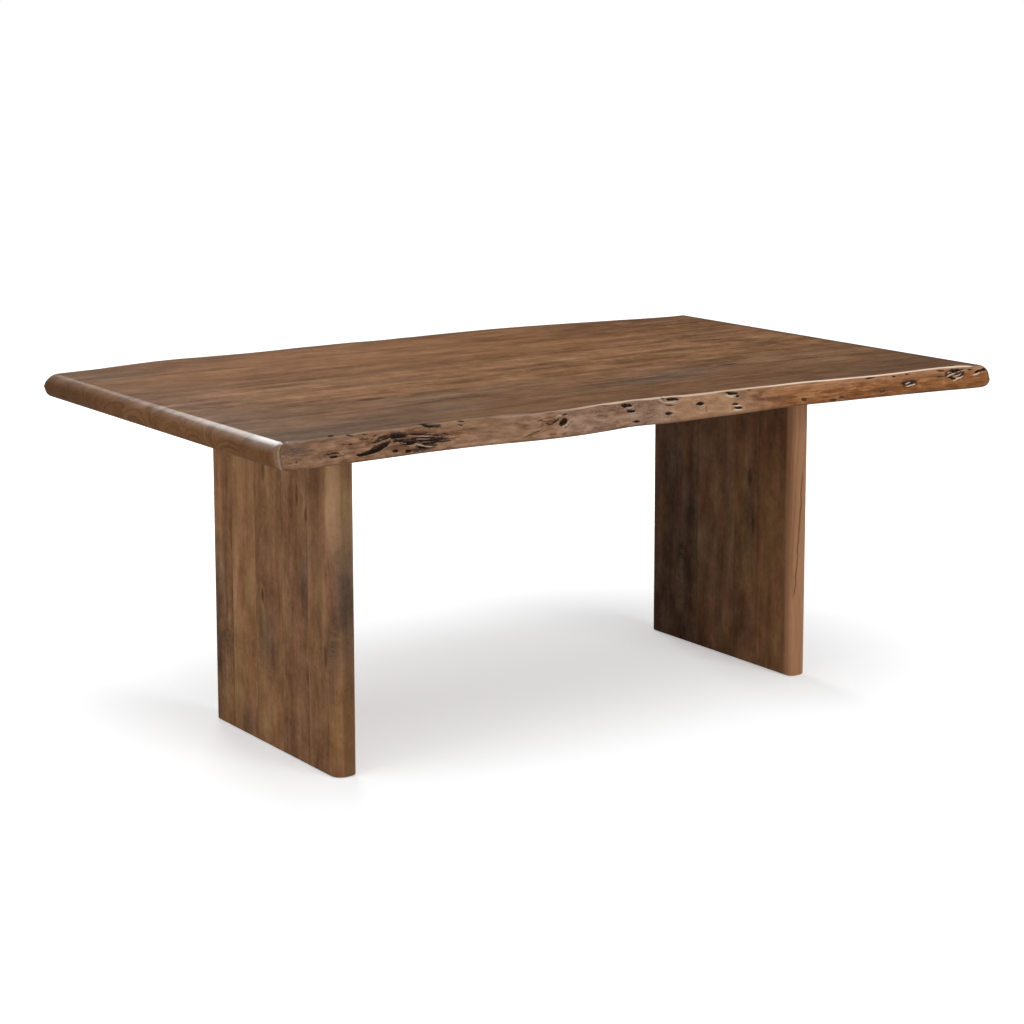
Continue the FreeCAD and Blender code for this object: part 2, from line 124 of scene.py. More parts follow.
# Marks on the front edge, where the photograph shows them, in the order they are cut. After the
# kind, each mark has its two ends and its thickness in the picture's pixels, and its depth in mm.
FRONT_MARKS = (
    ("hole", (294.5, 461.6, 296.3, 461.6, 1.6, 3)),
    ("crack", (327.8, 436.9, 335.3, 435.8, 0.7, 1)),
    ("hole", (344.8, 434.9, 354.5, 435.6, 1.7, 3), (342, 443.7, 344.8, 443.7, 1.5, 3),
     (347.6, 443.5, 352.2, 443.5, 1.4, 3), (324.5, 454.3, 331, 452.8, 1.4, 3),
     (329.5, 452.9, 338.3, 452.3, 1.4, 3), (327.8, 457, 338.7, 455, 2.2, 4)),
    ("crack", (336, 455.6, 344.5, 455, 0.8, 1)),
    ("hole", (360.8, 433.9, 368.3, 433.9, 1.3, 2), (359, 438.6, 368.2, 438.5, 1.4, 2)),
    ("crack", (371.5, 436.4, 377.7, 433.9, 1.1, 2), (370.4, 439.2, 374.7, 437.5, 0.9, 2)),
    ("hollow", (354.5, 454.9, 370, 452.2, 2.6, 5), (363, 453.2, 380, 447.8, 3.8, 7),
     (373, 450.2, 389, 442, 3.4, 7)),
    ("crack", (370, 443.3, 381, 439.3, 1.5, 3), (379, 440.2, 392.5, 434.8, 1.8, 4),
     (376.5, 438.1, 389.5, 433.4, 1.9, 4), (378.5, 445.2, 390, 440.4, 1.8, 3)),
    ("hollow", (388.5, 435.6, 406, 434.6, 5, 8), (392, 440.4, 404, 438.6, 3.2, 7),
     (398, 443.2, 416, 441.2, 4, 8), (409, 438.6, 420, 437.6, 2.2, 5),
     (411, 440.8, 440, 439.2, 6.5, 7)),
    ("crack", (403, 433.4, 432, 434, 2, 3), (408, 436.6, 438, 436.2, 1.6, 3),
     (432, 438.6, 449, 437.6, 1.6, 3), (436, 441.8, 452, 439.4, 1.2, 2),
     (440, 432.9, 451, 433.6, 1.4, 2), (428, 434.8, 444, 434.4, 1.6, 2)),
    ("stain", (400, 432.4, 434, 430.6, 3, 0), (404, 430.2, 416, 428.8, 2, 0),
     (430, 434.5, 466, 431.6, 6, 0), (386, 448.5, 416, 447.5, 6, 0), (362, 446, 380, 439, 3.6, 0)),
    ("shade", (356, 455, 374, 451.2, 3.4, 0), (366, 452.2, 391, 440.6, 4.8, 0),
     (372, 441.6, 394, 433.8, 3.6, 0), (386, 436.4, 409, 433.4, 8, 0),
     (394, 441, 420, 439.6, 7, 0), (410, 440.6, 448, 437.4, 8.6, 0)),
    ("stain", (428, 435.4, 458, 433, 2.6, 0), (436, 440.6, 462, 436, 2.2, 0)),
    ("shade", (412, 446.8, 438, 444, 6.5, 0), (408, 450, 430, 448, 4, 0),
     (416, 424.4, 442, 425.6, 4.6, 0)),
    ("crack", (357, 454, 372, 449.4, 1, 2), (363, 455.2, 379, 450.4, 1, 2),
     (366, 450.4, 384, 441.4, 1, 2), (373, 451.8, 391, 440.8, 1, 2),
     (378, 446.6, 392, 438.4, 0.9, 2), (408, 433.4, 434, 431.8, 1, 2),
     (418, 435.4, 446, 434.4, 0.9, 2), (420, 442.4, 446, 440.6, 1, 2),
     (395, 444.6, 409, 445.8, 1, 2)),
    ("ridge", (374, 445, 388, 438.6, 0.9, 0), (410, 435.2, 438, 435.2, 0.8, 0),
     (399, 442.2, 408, 441.8, 0.8, 0), (414, 440.8, 436, 439.8, 0.8, 0)),
    ("sliver", (413, 442.2, 421, 443.6, 0.8, 0)),
    ("ridge", (422, 424.6, 434, 425.4, 0.9, 0)),
    ("hollow", (416, 446.6, 428.5, 446.4, 3, 5)),
    ("sliver", (415.7, 443.9, 424, 445.4, 1.2, 0), (422, 445.2, 432.5, 446.2, 1.3, 0)),
    ("ridge", (393, 437.8, 405, 437, 0.9, 0), (412, 438, 434, 437.6, 0.8, 0)),
    ("hollow", (390.7, 451.6, 398.2, 449.6, 3, 4), (403.7, 451.6, 411.4, 449.4, 3.4, 4),
     (419.5, 424.7, 437, 426, 2.8, 4)),
    ("hole", (456.7, 420.9, 465, 421, 1.3, 2), (457.2, 424.6, 463.3, 424.7, 1.4, 3)),
    ("stain", (452, 430.5, 478, 427.5, 1.6, 0)),
    ("hole", (561.7, 414.6, 568, 413.4, 1.7, 3)),
    ("eye", (558.4, 424.6, 567, 418.2, 4.2, 8)),
    ("crack", (544.7, 422.3, 551, 424.2, 1.8, 3), (550.6, 424, 559.6, 416.9, 1.6, 4),
     (535.8, 421.6, 544, 417.6, 0.8, 1)),
    ("stain", (543, 423.4, 560, 418.4, 3.6, 0)),
    ("crack", (540.5, 419.6, 549, 421.6, 0.9, 1), (546.5, 425.4, 556, 420.6, 0.9, 2)),
    ("shade", (900, 384.4, 918, 381.4, 6, 0), (944, 374.6, 966, 371, 5, 0)),
    ("stain", (762, 400, 800, 396, 5, 0), (546.7, 434.2, 556.7, 433.6, 2.6, 0),
     (560.8, 433.7, 566.7, 432.9, 3.2, 0)),
    ("crack", (520, 438.6, 545, 426.6, 0.9, 1)),
    ("eye", (620.8, 405.3, 633.3, 403.9, 3.6, 8), (625, 410.8, 635, 410.3, 2.9, 6)),
    ("hole", (630.8, 421.5, 639.7, 420.5, 2.4, 4)),
    ("eye", (665.8, 398.9, 680, 398, 3, 7)),
    ("hole", (661.4, 397.6, 664.4, 398, 1.8, 3)),
    ("crack", (656, 400.2, 663, 404, 1, 1), (663, 404, 674, 404.8, 1.2, 2)),
    ("sliver", (657, 398.2, 664, 401.8, 1.9, 0), (662.5, 401.8, 677, 402.6, 1.5, 0),
     (723.5, 394.8, 734.5, 397.2, 1.5, 0), (731.5, 405, 741.5, 404.9, 1.2, 0),
     (731, 409.8, 742.5, 409.3, 1.4, 0)),
    ("hole", (664, 413, 672.5, 411.7, 2.9, 5)),
    ("eye", (695, 404.1, 704, 401.8, 2.9, 6), (725, 392.6, 738.6, 392.9, 3.2, 7)),
    ("hole", (735, 396.4, 739.4, 394.8, 1.9, 4), (730.8, 403.5, 738.3, 403, 1.9, 3)),
    ("eye", (732.5, 407.3, 741.3, 407, 2.5, 5)),
    ("hole", (746.7, 389.9, 751, 389.7, 1.1, 2)),
    ("crack", (704.8, 403, 704.9, 412.5, 0.7, 1)),
    ("pit", (800, 399.3, 807, 398.8, 3, 4), (828.3, 399.8, 835.8, 399.3, 2, 3),
     (837.5, 397.2, 845, 396.5, 2.4, 2), (877.5, 392, 885.8, 390.3, 2.4, 2)),
    ("stain", (815, 393, 850, 388, 5, 0), (868, 391.5, 902, 386, 5, 0)),
    ("crack", (867.5, 379.3, 880, 377, 1.2, 2)),
    ("hole", (895, 376.7, 900, 376.4, 1.4, 2), (908.3, 374.6, 913.3, 374.2, 1.1, 1)),
    ("hollow", (902.5, 383.4, 916, 381.2, 2.2, 5)),
    ("sliver", (904.5, 384.2, 912.5, 381.4, 0.9, 0), (904, 386.8, 917, 383.4, 1, 0)),
    ("crack", (936.7, 376.5, 946, 376.3, 1.1, 2), (938.5, 371.2, 947.5, 370.4, 1.9, 3)),
    ("hollow", (948, 372, 965, 368.6, 3, 6), (946, 375, 957.5, 378.8, 3.2, 6),
     (955, 375.6, 964.8, 372.2, 2.6, 5)),
    ("hole", (951, 379.8, 957, 378.6, 1.4, 3)),
    ("sliver", (950.5, 380.9, 963.8, 375.6, 1.5, 0), (948, 373, 954, 371, 0.8, 0),
     (947, 376, 957, 372.6, 0.9, 0), (953, 376.8, 963, 372.4, 0.8, 0),
     (957, 371.6, 966, 369.4, 0.8, 0)),
    ("hole", (966.2, 369.4, 969.6, 368.4, 1.5, 3)),
    ("hollow", (972, 372, 978.8, 368.8, 2.2, 4), (976.5, 369.4, 983, 367, 2.8, 5)),
    ("sliver", (971, 375, 977.8, 371.2, 1.4, 0)),
)

# Marks on the back edge, in millimetres along the table and above the floor. After the kind, each
# mark has its x and z, half length, half thickness, tilt in degrees and depth.
BACK_MARKS = (
    ("eye", (-800, 742, 16, 4.5, 8, 7)),
    ("hole", (-768, 752, 9, 2.2, 0, 4), (-744, 735, 11, 2.4, 5, 4)),
    ("crack", (-700, 750, 30, 1.8, 6, 2)),
    ("stain", (-720, 742, 60, 8, 3, 0)),
    ("hollow", (-520, 741, 46, 6.5, 10, 8), (-482, 750, 26, 5, 14, 6)),
    ("crack", (-450, 745, 30, 2, 10, 3)),
    ("sliver", (-506, 745, 18, 1.4, 10, 0)),
    ("stain", (-470, 738, 60, 8, 8, 0)),
    ("eye", (-300, 733, 14, 3.4, 0, 6)),
    ("hole", (-276, 748, 10, 2.6, 12, 4)),
    ("crack", (-120, 755, 22, 1.6, 0, 2)),
    ("eye", (-20, 744, 20, 5, -6, 8), (24, 736, 12, 3.2, 0, 5)),
    ("stain", (0, 740, 50, 9, -4, 0)),
    ("hole", (150, 752, 12, 2.4, 0, 4), (172, 728, 8, 2.4, 0, 4)),
    ("hollow", (330, 746, 30, 5.5, -12, 7)),
    ("crack", (366, 738, 30, 1.8, -14, 2)),
    ("sliver", (338, 742, 16, 1.3, -12, 0)),
    ("eye", (540, 742, 15, 4, 6, 7)),
    ("hole", (566, 754, 8, 2, 0, 3)),
    ("crack", (690, 748, 36, 1.8, 4, 2)),
    ("hollow", (800, 740, 26, 5, 10, 7)),
    ("eye", (846, 748, 14, 4, 12, 6)),
)


def hills(u, v, seed):
    """Random heights from -1 to 1 at whole numbers of u and v, smooth between them."""
    size = 211
    heights = np.random.default_rng(seed).uniform(-1, 1, (size, size))
    column, row = np.floor(u).astype(int), np.floor(v).astype(int)
    right, up = u - column, v - row
    right, up = right * right * (3 - 2 * right), up * up * (3 - 2 * up)
    here, beside = heights[column % size, row % size], heights[(column + 1) % size, row % size]
    above = heights[column % size, (row + 1) % size]
    across = heights[(column + 1) % size, (row + 1) % size]
    lower, upper = here * (1 - right) + beside * right, above * (1 - right) + across * right
    return lower * (1 - up) + upper * up


def eased(value, low, high):
    """From 0 at low to 1 at high, with a soft start and end."""
    share = np.clip((value - low) / (high - low), 0, 1)
    return share * share * (3 - 2 * share)


def edge_line(shares, x):
    """A smooth curve through the shares, which lie at even steps from end to end."""
    shares = np.array(shares)
    place = np.clip((x + EDGE_REACH) / (2 * EDGE_REACH), 0, 1) * (len(shares) - 1)
    index = np.clip(np.floor(place).astype(int), 0, len(shares) - 2)
    t = place - index
    last = len(shares) - 1
    before, start = shares[np.clip(index - 1, 0, last)], shares[index]
    end, after = shares[index + 1], shares[np.clip(index + 2, 0, last)]
    return start + 0.5 * t * (end - before + t * (
        2 * before - 5 * start + 4 * end - after + t * (3 * (start - end) + after - before)
    ))


def stations(fine_spans, fine, coarse):
    """Places along the top, closer together in the spans and round its noses."""
    places = [-TOP_LENGTH / 2 + NOSE_ROLL]
    while places[-1] < TOP_LENGTH / 2 - NOSE_ROLL:
        inside = any(low <= places[-1] / MM <= high for low, high in fine_spans)
        places.append(places[-1] + (fine if inside else coarse))
    places = np.array(places)
    straight = TOP_LENGTH / 2 - NOSE_ROLL
    places = straight * (2 * (places - places[0]) / (places[-1] - places[0]) - 1)
    turn = np.radians(np.linspace(0, 90, 23))
    nose = np.append(straight - 3 * MM, straight + NOSE_ROLL * np.sin(turn))
    return np.concatenate([-nose[::-1], places[np.abs(places) < straight - 4 * MM], nose])


def nose_curve(x, reach):
    """The height of the top's section above or below its middle, in a nose that reaches so far in."""
    over = np.clip((np.abs(x) - (TOP_LENGTH / 2 - reach)) / reach, 0, 1)
    return NOSE * np.sqrt(1 - over * over)


def section_heights(x):
    """The lowest and highest point of the top's section at each station."""
    upper = np.where(x < 0, NOSE_ROLL, NOSE)
    return SEAM_HEIGHT - nose_curve(x, NOSE), SEAM_HEIGHT + nose_curve(x, upper)


def added(name, data):
    """A new object in the scene."""
    thing = bpy.data.objects.new(name, data)
    bpy.context.scene.collection.objects.link(thing)
    return thing


def lofted(name, loops, layers=None, capped=False):
    """A closed skin over a row of closed loops, with any named values on its points."""
    count, around = loops.shape[:2]
    mesh = bpy.data.meshes.new(name)
    index = np.arange(count * around).reshape(count, around)
    ahead = np.roll(index, -1, axis=1)
    quads = np.stack([index[:-1], ahead[:-1], ahead[1:], index[1:]], axis=-1).reshape(-1, 4)
    faces = quads.tolist()
    if capped:
        for ring in (index[0], index[-1]):
            pairs = [(ring[i], ring[-i % around]) for i in range(around // 2 + 1)]
            for (a, b), (c, d) in zip(pairs, pairs[1:]):
                corners = [a, c, d, b]
                faces.append([p for i, p in enumerate(corners) if p not in corners[:i]])
    mesh.from_pydata(loops.reshape(-1, 3).tolist(), [], faces)
    for key, values in (layers or {}).items():
        layer = mesh.attributes.new(key, "FLOAT", "POINT")
        layer.data.foreach_set("value", values.reshape(-1).astype(np.float32))
    skin = bmesh.new()
    skin.from_mesh(mesh)
    bmesh.ops.remove_doubles(skin, verts=skin.verts, dist=0.002 * MM)
    bmesh.ops.dissolve_degenerate(skin, edges=skin.edges, dist=0.001 * MM)
    bmesh.ops.recalc_face_normals(skin, faces=skin.faces)
    skin.to_mesh(mesh)
    skin.free()
    mesh.shade_smooth()
    return added(name, mesh)


def placed(piece, node, material):
    """Puts a remade piece in the place of its solid."""
    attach(piece, "root")
    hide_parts(node)
    piece.data.materials.clear()
    piece.data.materials.append(material)


def square_corner(y, z, inward_y, inward_z, scale, towards_face):
    """Points round an eased corner of a section, as columns of y and z."""
    ease, support = SEAM_EASE * scale, SEAM_SUPPORT * scale
    steps = [(0, support), (0, ease), (ease * 0.3, ease * 0.3), (ease, 0), (support, 0)]
    if not towards_face:
        steps = steps[::-1]
    return [(y + inward_y * a, z + inward_z * b) for a, b in steps]


def straight_board(name, y0, y1):
    """A board between two glue seams, with its half-round ends."""
    x = stations((), 20 * MM, 20 * MM)
    low, high = section_heights(x)
    scale = np.clip((high - low) / FINE_RELIEF, 0, 1)
    middle = np.full_like(x, SEAM_HEIGHT)
    lanes = np.linspace(y0 + SEAM_SUPPORT, y1 - SEAM_SUPPORT, 8)[1:-1]
    columns = [(y0 + 0 * x, middle)]
    columns += square_corner(y0, high, 1, -1, scale, True)
    columns += [(lane + 0 * x, high) for lane in lanes]
    columns += square_corner(y1, high, -1, -1, scale, False)
    columns += [(y1 + 0 * x, middle)]
    columns += square_corner(y1, low, -1, 1, scale, True)
    columns += [(lane + 0 * x, low) for lane in lanes[::-1]]
    columns += square_corner(y0, low, 1, 1, scale, False)
    loops = np.stack([np.stack([x, y + 0 * x, z + 0 * x], axis=-1) for y, z in columns], axis=1)
    return lofted(name, loops)


def listed(marks):
    """The marks one by one, each with its kind."""
    return [(kind, *mark) for kind, *group in marks for mark in group]


def seen_marks(node, marks):
    """Marks given by the photograph's pixels, found on the solid that shows there."""
    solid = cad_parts[node].data
    skin = BVHTree.FromPolygons(
        [corner.co for corner in solid.vertices], [face.vertices for face in solid.polygons],
    )
    right, up, back = camera_axes()

    def on_face(px, py):
        """Where a pixel, or else the nearest one above or below it, meets the solid."""
        for step in (0, 0.5, -0.5, 1, -1, 1.5, -1.5, 2.5):
            ray = right * (px - CENTRE[0]) + up * (CENTRE[1] - py - step) - back * FOCAL
            hit = skin.ray_cast(EYE, ray.normalized())[0]
            if hit is not None:
                return hit.x / MM, hit.z / MM
        return None

    thinner, least_length, least_width, least_scale = 0.62, 1.5, 0.9, 0.8
    found = []
    for kind, x0, y0, x1, y1, thickness, depth in marks:
        middle_x, middle_y = (x0 + x1) / 2, (y0 + y1) / 2
        spots = ((x0, y0), (x1, y1), (middle_x, middle_y - 1), (middle_x, middle_y + 1))
        hits = [on_face(*spot) for spot in spots]
        if None in hits:
            continue
        (ax, az), (bx, bz), (_, high), (_, low) = hits
        per_pixel = max(abs(high - low) / 2, least_scale)
        found.append((
            kind, (ax + bx) / 2, (az + bz) / 2,
            max(math.hypot(bx - ax, bz - az) / 2, least_length),
            max(thickness * per_pixel * thinner, least_width),
            math.degrees(math.atan2(bz - az, bx - ax)), depth,
        ))
    return found


def mark_fields(x, height, marks, seed):
    """Depth and colour that the marks give to each point of a natural edge."""
    along, up = x / MM, height / MM
    fields = {key: np.zeros_like(along) for key in ("sunk", *EDGE_LAYERS)}
    ragged = hills(along / 7, up / 3.2, seed) + 0.6 * hills(along / 3.1, up / 1.7, seed + 1)

    def raise_to(key, values):
        fields[key][near] = np.maximum(fields[key][near], values)

    for kind, centre_x, centre_z, length, width, tilt, depth in marks:
        near = np.abs(along - centre_x) < 2.4 * length + 34
        turn = math.radians(tilt)
        du, dv = along[near] - centre_x, up[near] - centre_z
        u = du * math.cos(turn) + dv * math.sin(turn)
        v = dv * math.cos(turn) - du * math.sin(turn)
        v = v + ragged[near] * min(width * 0.32, 1.3)
        u = u + ragged[near] * 1.5
        taper = np.clip(1 - (u / length) ** 2, 0.06, 1) ** 0.6
        q = np.sqrt((u / length) ** 4 + (v / (width * taper)) ** 2)
        core = 1 - eased(q, 0.40, 1.35)
        spread = np.exp(-((u / (length * 0.9 + 12)) ** 2) - (v / (width + 6)) ** 2)
        if kind in ("sliver", "ridge"):
            if kind == "sliver":
                raise_to("sliver", core)
            fields["bark"][near] *= 1 - core
            fields["shade"][near] *= 1 - 0.8 * core
            fields["sunk"][near] *= 1 - 0.8 * core
        elif kind in ("stain", "shade"):
            raise_to(kind, (1 - eased(q, 0.1, 1.5)) * 0.9)
        else:
            blackness, lip_highlight, bend = SUNK_KINDS[kind]
            # A painted highlight along the mark's lower lip
            raise_to("rim", np.exp(-((q - 1.55) / 0.3) ** 2) * eased(-v, -width * 0.2, width) * lip_highlight)
            if kind == "eye":
                raise_to("stain", np.exp(-((q - 2.1) / 0.22) ** 2))
                raise_to("rim", np.exp(-((q - 2.6) / 0.25) ** 2) * 0.7)
            raise_to("bark", core * blackness)
            raise_to("sunk", (1 - eased(q, 0.1, 1.2)) * depth * MM)
            fields["bend"][near] += spread * bend * MM
    return fields


def natural_face(x, low, high, scale, side, inward, slant, face_rows, seed):
    """The face before it wears, in lines along the board from its upper arris down to its foot."""
    front = side < 0
    stands_out = FRONT_STANDS_OUT * (1 - eased(x, *NEAR_END)) * front
    outline = TOP_HALF_WIDTH - EDGE_WANDER * edge_line(inward, x) + stands_out
    lean = EDGE_SLANT * edge_line(slant, x) * (1 - 0.65 * eased(np.abs(x), *NEAR_END))
    lean = lean + stands_out if front else lean * BACK_LEAN
    from_end = np.clip(TOP_LENGTH / 2 - np.abs(x), 0, CORNER_ROUND)
    turned_in = CORNER_ROUND - np.sqrt(CORNER_ROUND ** 2 - (CORNER_ROUND - from_end) ** 2)
    uneven = 0.45 - 0.35 * eased(x, 0.1, 0.4)     # the arris runs steadier towards the right
    arris = UPPER_ARRIS * (1 + uneven * hills(x / (46 * MM), 0 * x, seed + 5)) * scale
    lower_arris = FRONT_LOWER_ARRIS if front else BACK_LOWER_ARRIS
    foot = lower_arris * (1 + 0.25 * hills(x / (60 * MM), 0 * x, seed + 6)) * scale

    def face_point(z):
        share = np.clip((z - (TOP_HEIGHT - TOP_THICKNESS)) / TOP_THICKNESS, 0, 1)
        behind = lean * np.clip((share - FOOT_UPRIGHT) / (1 - FOOT_UPRIGHT), 0, None) ** FACE_CURVE
        return outline - behind - turned_in - DRAWN_IN * eased(-side * x, *DRAWN_IN_SPAN)

    turns = np.radians(np.linspace(0, 90, 7))
    lines = []
    for turn in turns[:-1]:
        height = high - arris * (1 - math.cos(turn))
        lines.append((face_point(height) - arris * (1 - math.sin(turn)), height))
    for share in np.linspace(0, 1, face_rows):
        height = (high - arris) * (1 - share) + (low + foot) * share
        lines.append((face_point(height), height))
    for turn in turns[::-1][1:]:
        height = low + foot * (1 - math.cos(turn))
        lines.append((face_point(height) - foot * (1 - math.sin(turn)), height))
    return [np.stack(values, axis=1) for values in zip(*lines)]


def worn_face(x, reach, z, rows, sunk, scale, seed):
    """The face with its wear and its marks sunk in, and how far each point of it looks outwards."""
    worn = 0
    for step, (amount, wide, tall) in enumerate(WORN_HILLS, start=7):
        worn = worn + amount * (1 + hills(x / (wide * MM), z / (tall * MM), seed + step))
    run_y, run_z = np.gradient(reach, axis=1), np.gradient(z, axis=1)
    size = np.maximum(np.hypot(run_y, run_z), 1e-9)
    out_y, out_z = -run_z / size, run_y / size
    fade = np.minimum(1, np.minimum(rows, rows[::-1]) / 5)
    depth = (worn * MM + sunk) * fade * scale[:, None]
    return reach - out_y * depth, z - out_z * depth, out_y


def natural_board(name, side, seam, inward, slant, marks, x, face_rows, seed):
    """An outer board: its natural face with every mark, its worn arrises and its ends."""
    low, high = section_heights(x)
    scale = np.clip((high - low) / FINE_RELIEF, 0, 1)
    reach, z = natural_face(x, low, high, scale, side, inward, slant, face_rows, seed)
    rows = np.arange(z.shape[1])
    grid_x = np.repeat(x[:, None], len(rows), axis=1)
    fields = mark_fields(grid_x, z, marks, seed)
    reach, z, outwards = worn_face(grid_x, reach, z, rows, fields["sunk"], scale, seed)

    deep = abs(seam)
    inner = deep + SEAM_SUPPORT
    lanes = 1 - np.linspace(0, 1, 13)[1:-1] ** 1.6
    top = [(inner + (reach[:, 0] - inner) * (1 - lane), high) for lane in lanes]
    under = [(inner + (reach[:, -1] - inner) * lane, low) for lane in lanes[::2]]
    seam_top = square_corner(deep, high, 1, -1, scale, True)
    seam_foot = square_corner(deep, low, 1, 1, scale, False)
    columns = [(deep + 0 * x, SEAM_HEIGHT + 0 * x)] + seam_top + top
    first = len(columns)
    columns += [(reach[:, row], z[:, row]) for row in rows]
    after = len(columns)
    columns += under + seam_foot
    columns = [np.stack([x, side * (y + 0 * x), h + 0 * x], axis=-1) for y, h in columns]
    loops = np.stack(columns, axis=1)

    along_face = eased(TOP_LENGTH / 2 - np.abs(x), 30 * MM, 50 * MM)
    line_row, line_width = (4.0, 2.2) if side < 0 else (1.0, 3.5)
    fields["arris"] = along_face[:, None] * np.exp(-((rows - line_row) / line_width) ** 2)
    fields["face"] = eased(outwards, 0.25, 0.6)
    layers = {}
    for key in (*EDGE_LAYERS, "face", "arris"):
        layers[key] = np.zeros(loops.shape[:2])
        layers[key][:, first:after] = fields[key]
    return lofted(name, loops, layers)


def half_section(middle, face, y0, y1, front_round, back_round, inset):
    """Half of a stave's plan, from the middle of its back round one face to its front."""
    out = 1 if face > middle else -1
    y0, y1 = y0 + inset[0], y1 - inset[1]
    face = face - out * inset[2]

    def rounding(y, inward, radius):
        turns = np.radians(np.linspace(0, 90, 10))
        return [(face - out * (radius + SEAM_SUPPORT), y)] + [(
            face - out * radius * (1 - math.sin(turn)), y + inward * radius * (1 - math.cos(turn)),
        ) for turn in turns]

    near, far = y0 + front_round + SEAM_SUPPORT, y1 - back_round - SEAM_SUPPORT
    flat = [(face, y) for y in np.linspace(far, near, 8)]
    back, front = rounding(y1, -1, back_round), rounding(y0, 1, front_round)
    return [(middle, y1)] + back + flat + front[::-1] + [(middle, y0)]


def leg_stave(name, node, outer_is_left, place):
    """One upright stave, with the leg's roundings where it is the first or the last."""
    low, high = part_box(node)
    left, right = (OUTER_ROUND, INNER_ROUND) if outer_is_left else (INNER_ROUND, OUTER_ROUND)
    middle = (low.x + high.x) / 2
    rows = [(low.z + up * MM, ease * MM) for up, ease in FOOT_EASE]
    rows += [(z, 0) for z in np.linspace(low.z + 40 * MM, high.z - 1 * MM, 12)]
    rows += [(high.z, 0)]
    loops = []
    for z, ease in rows:
        halves = []
        for face, round_here in ((low.x, left), (high.x, right)):
            front = round_here if place == "front" else SEAM_EASE
            back = round_here if place == "back" else SEAM_EASE
            inset = (ease if place == "front" else 0, ease if place == "back" else 0, ease)
            halves.append(half_section(middle, face, low.y, high.y, front, back, inset))
        around = halves[0] + halves[1][-2:0:-1]
        loops.append([(px, py, z) for px, py in around])
    return lofted(name, np.array(loops), capped=True)


class Value:
    """One output of a shader node. Arithmetic on it adds Math nodes."""

    def __init__(self, finish, socket):
        self.finish = finish
        self.socket = socket

    def math(self, operation, *values):
        return self.finish.node("ShaderNodeMath", {"operation": operation}, dict(enumerate(values)))

    def __add__(self, other):
        return self.math("ADD", self, other)

    def __radd__(self, other):
        return self.math("ADD", other, self)

    def __sub__(self, other):
        return self.math("SUBTRACT", self, other)

    def __rsub__(self, other):
        return self.math("SUBTRACT", other, self)

    def __mul__(self, other):
        return self.math("MULTIPLY", self, other)

    def __rmul__(self, other):
        return self.math("MULTIPLY", other, self)

    def __truediv__(self, other):
        return self.math("DIVIDE", self, other)

    def __rtruediv__(self, other):
        return self.math("DIVIDE", other, self)

    def __pow__(self, other):
        return self.math("POWER", self, other)

    def __abs__(self):
        return self.math("ABSOLUTE", self)


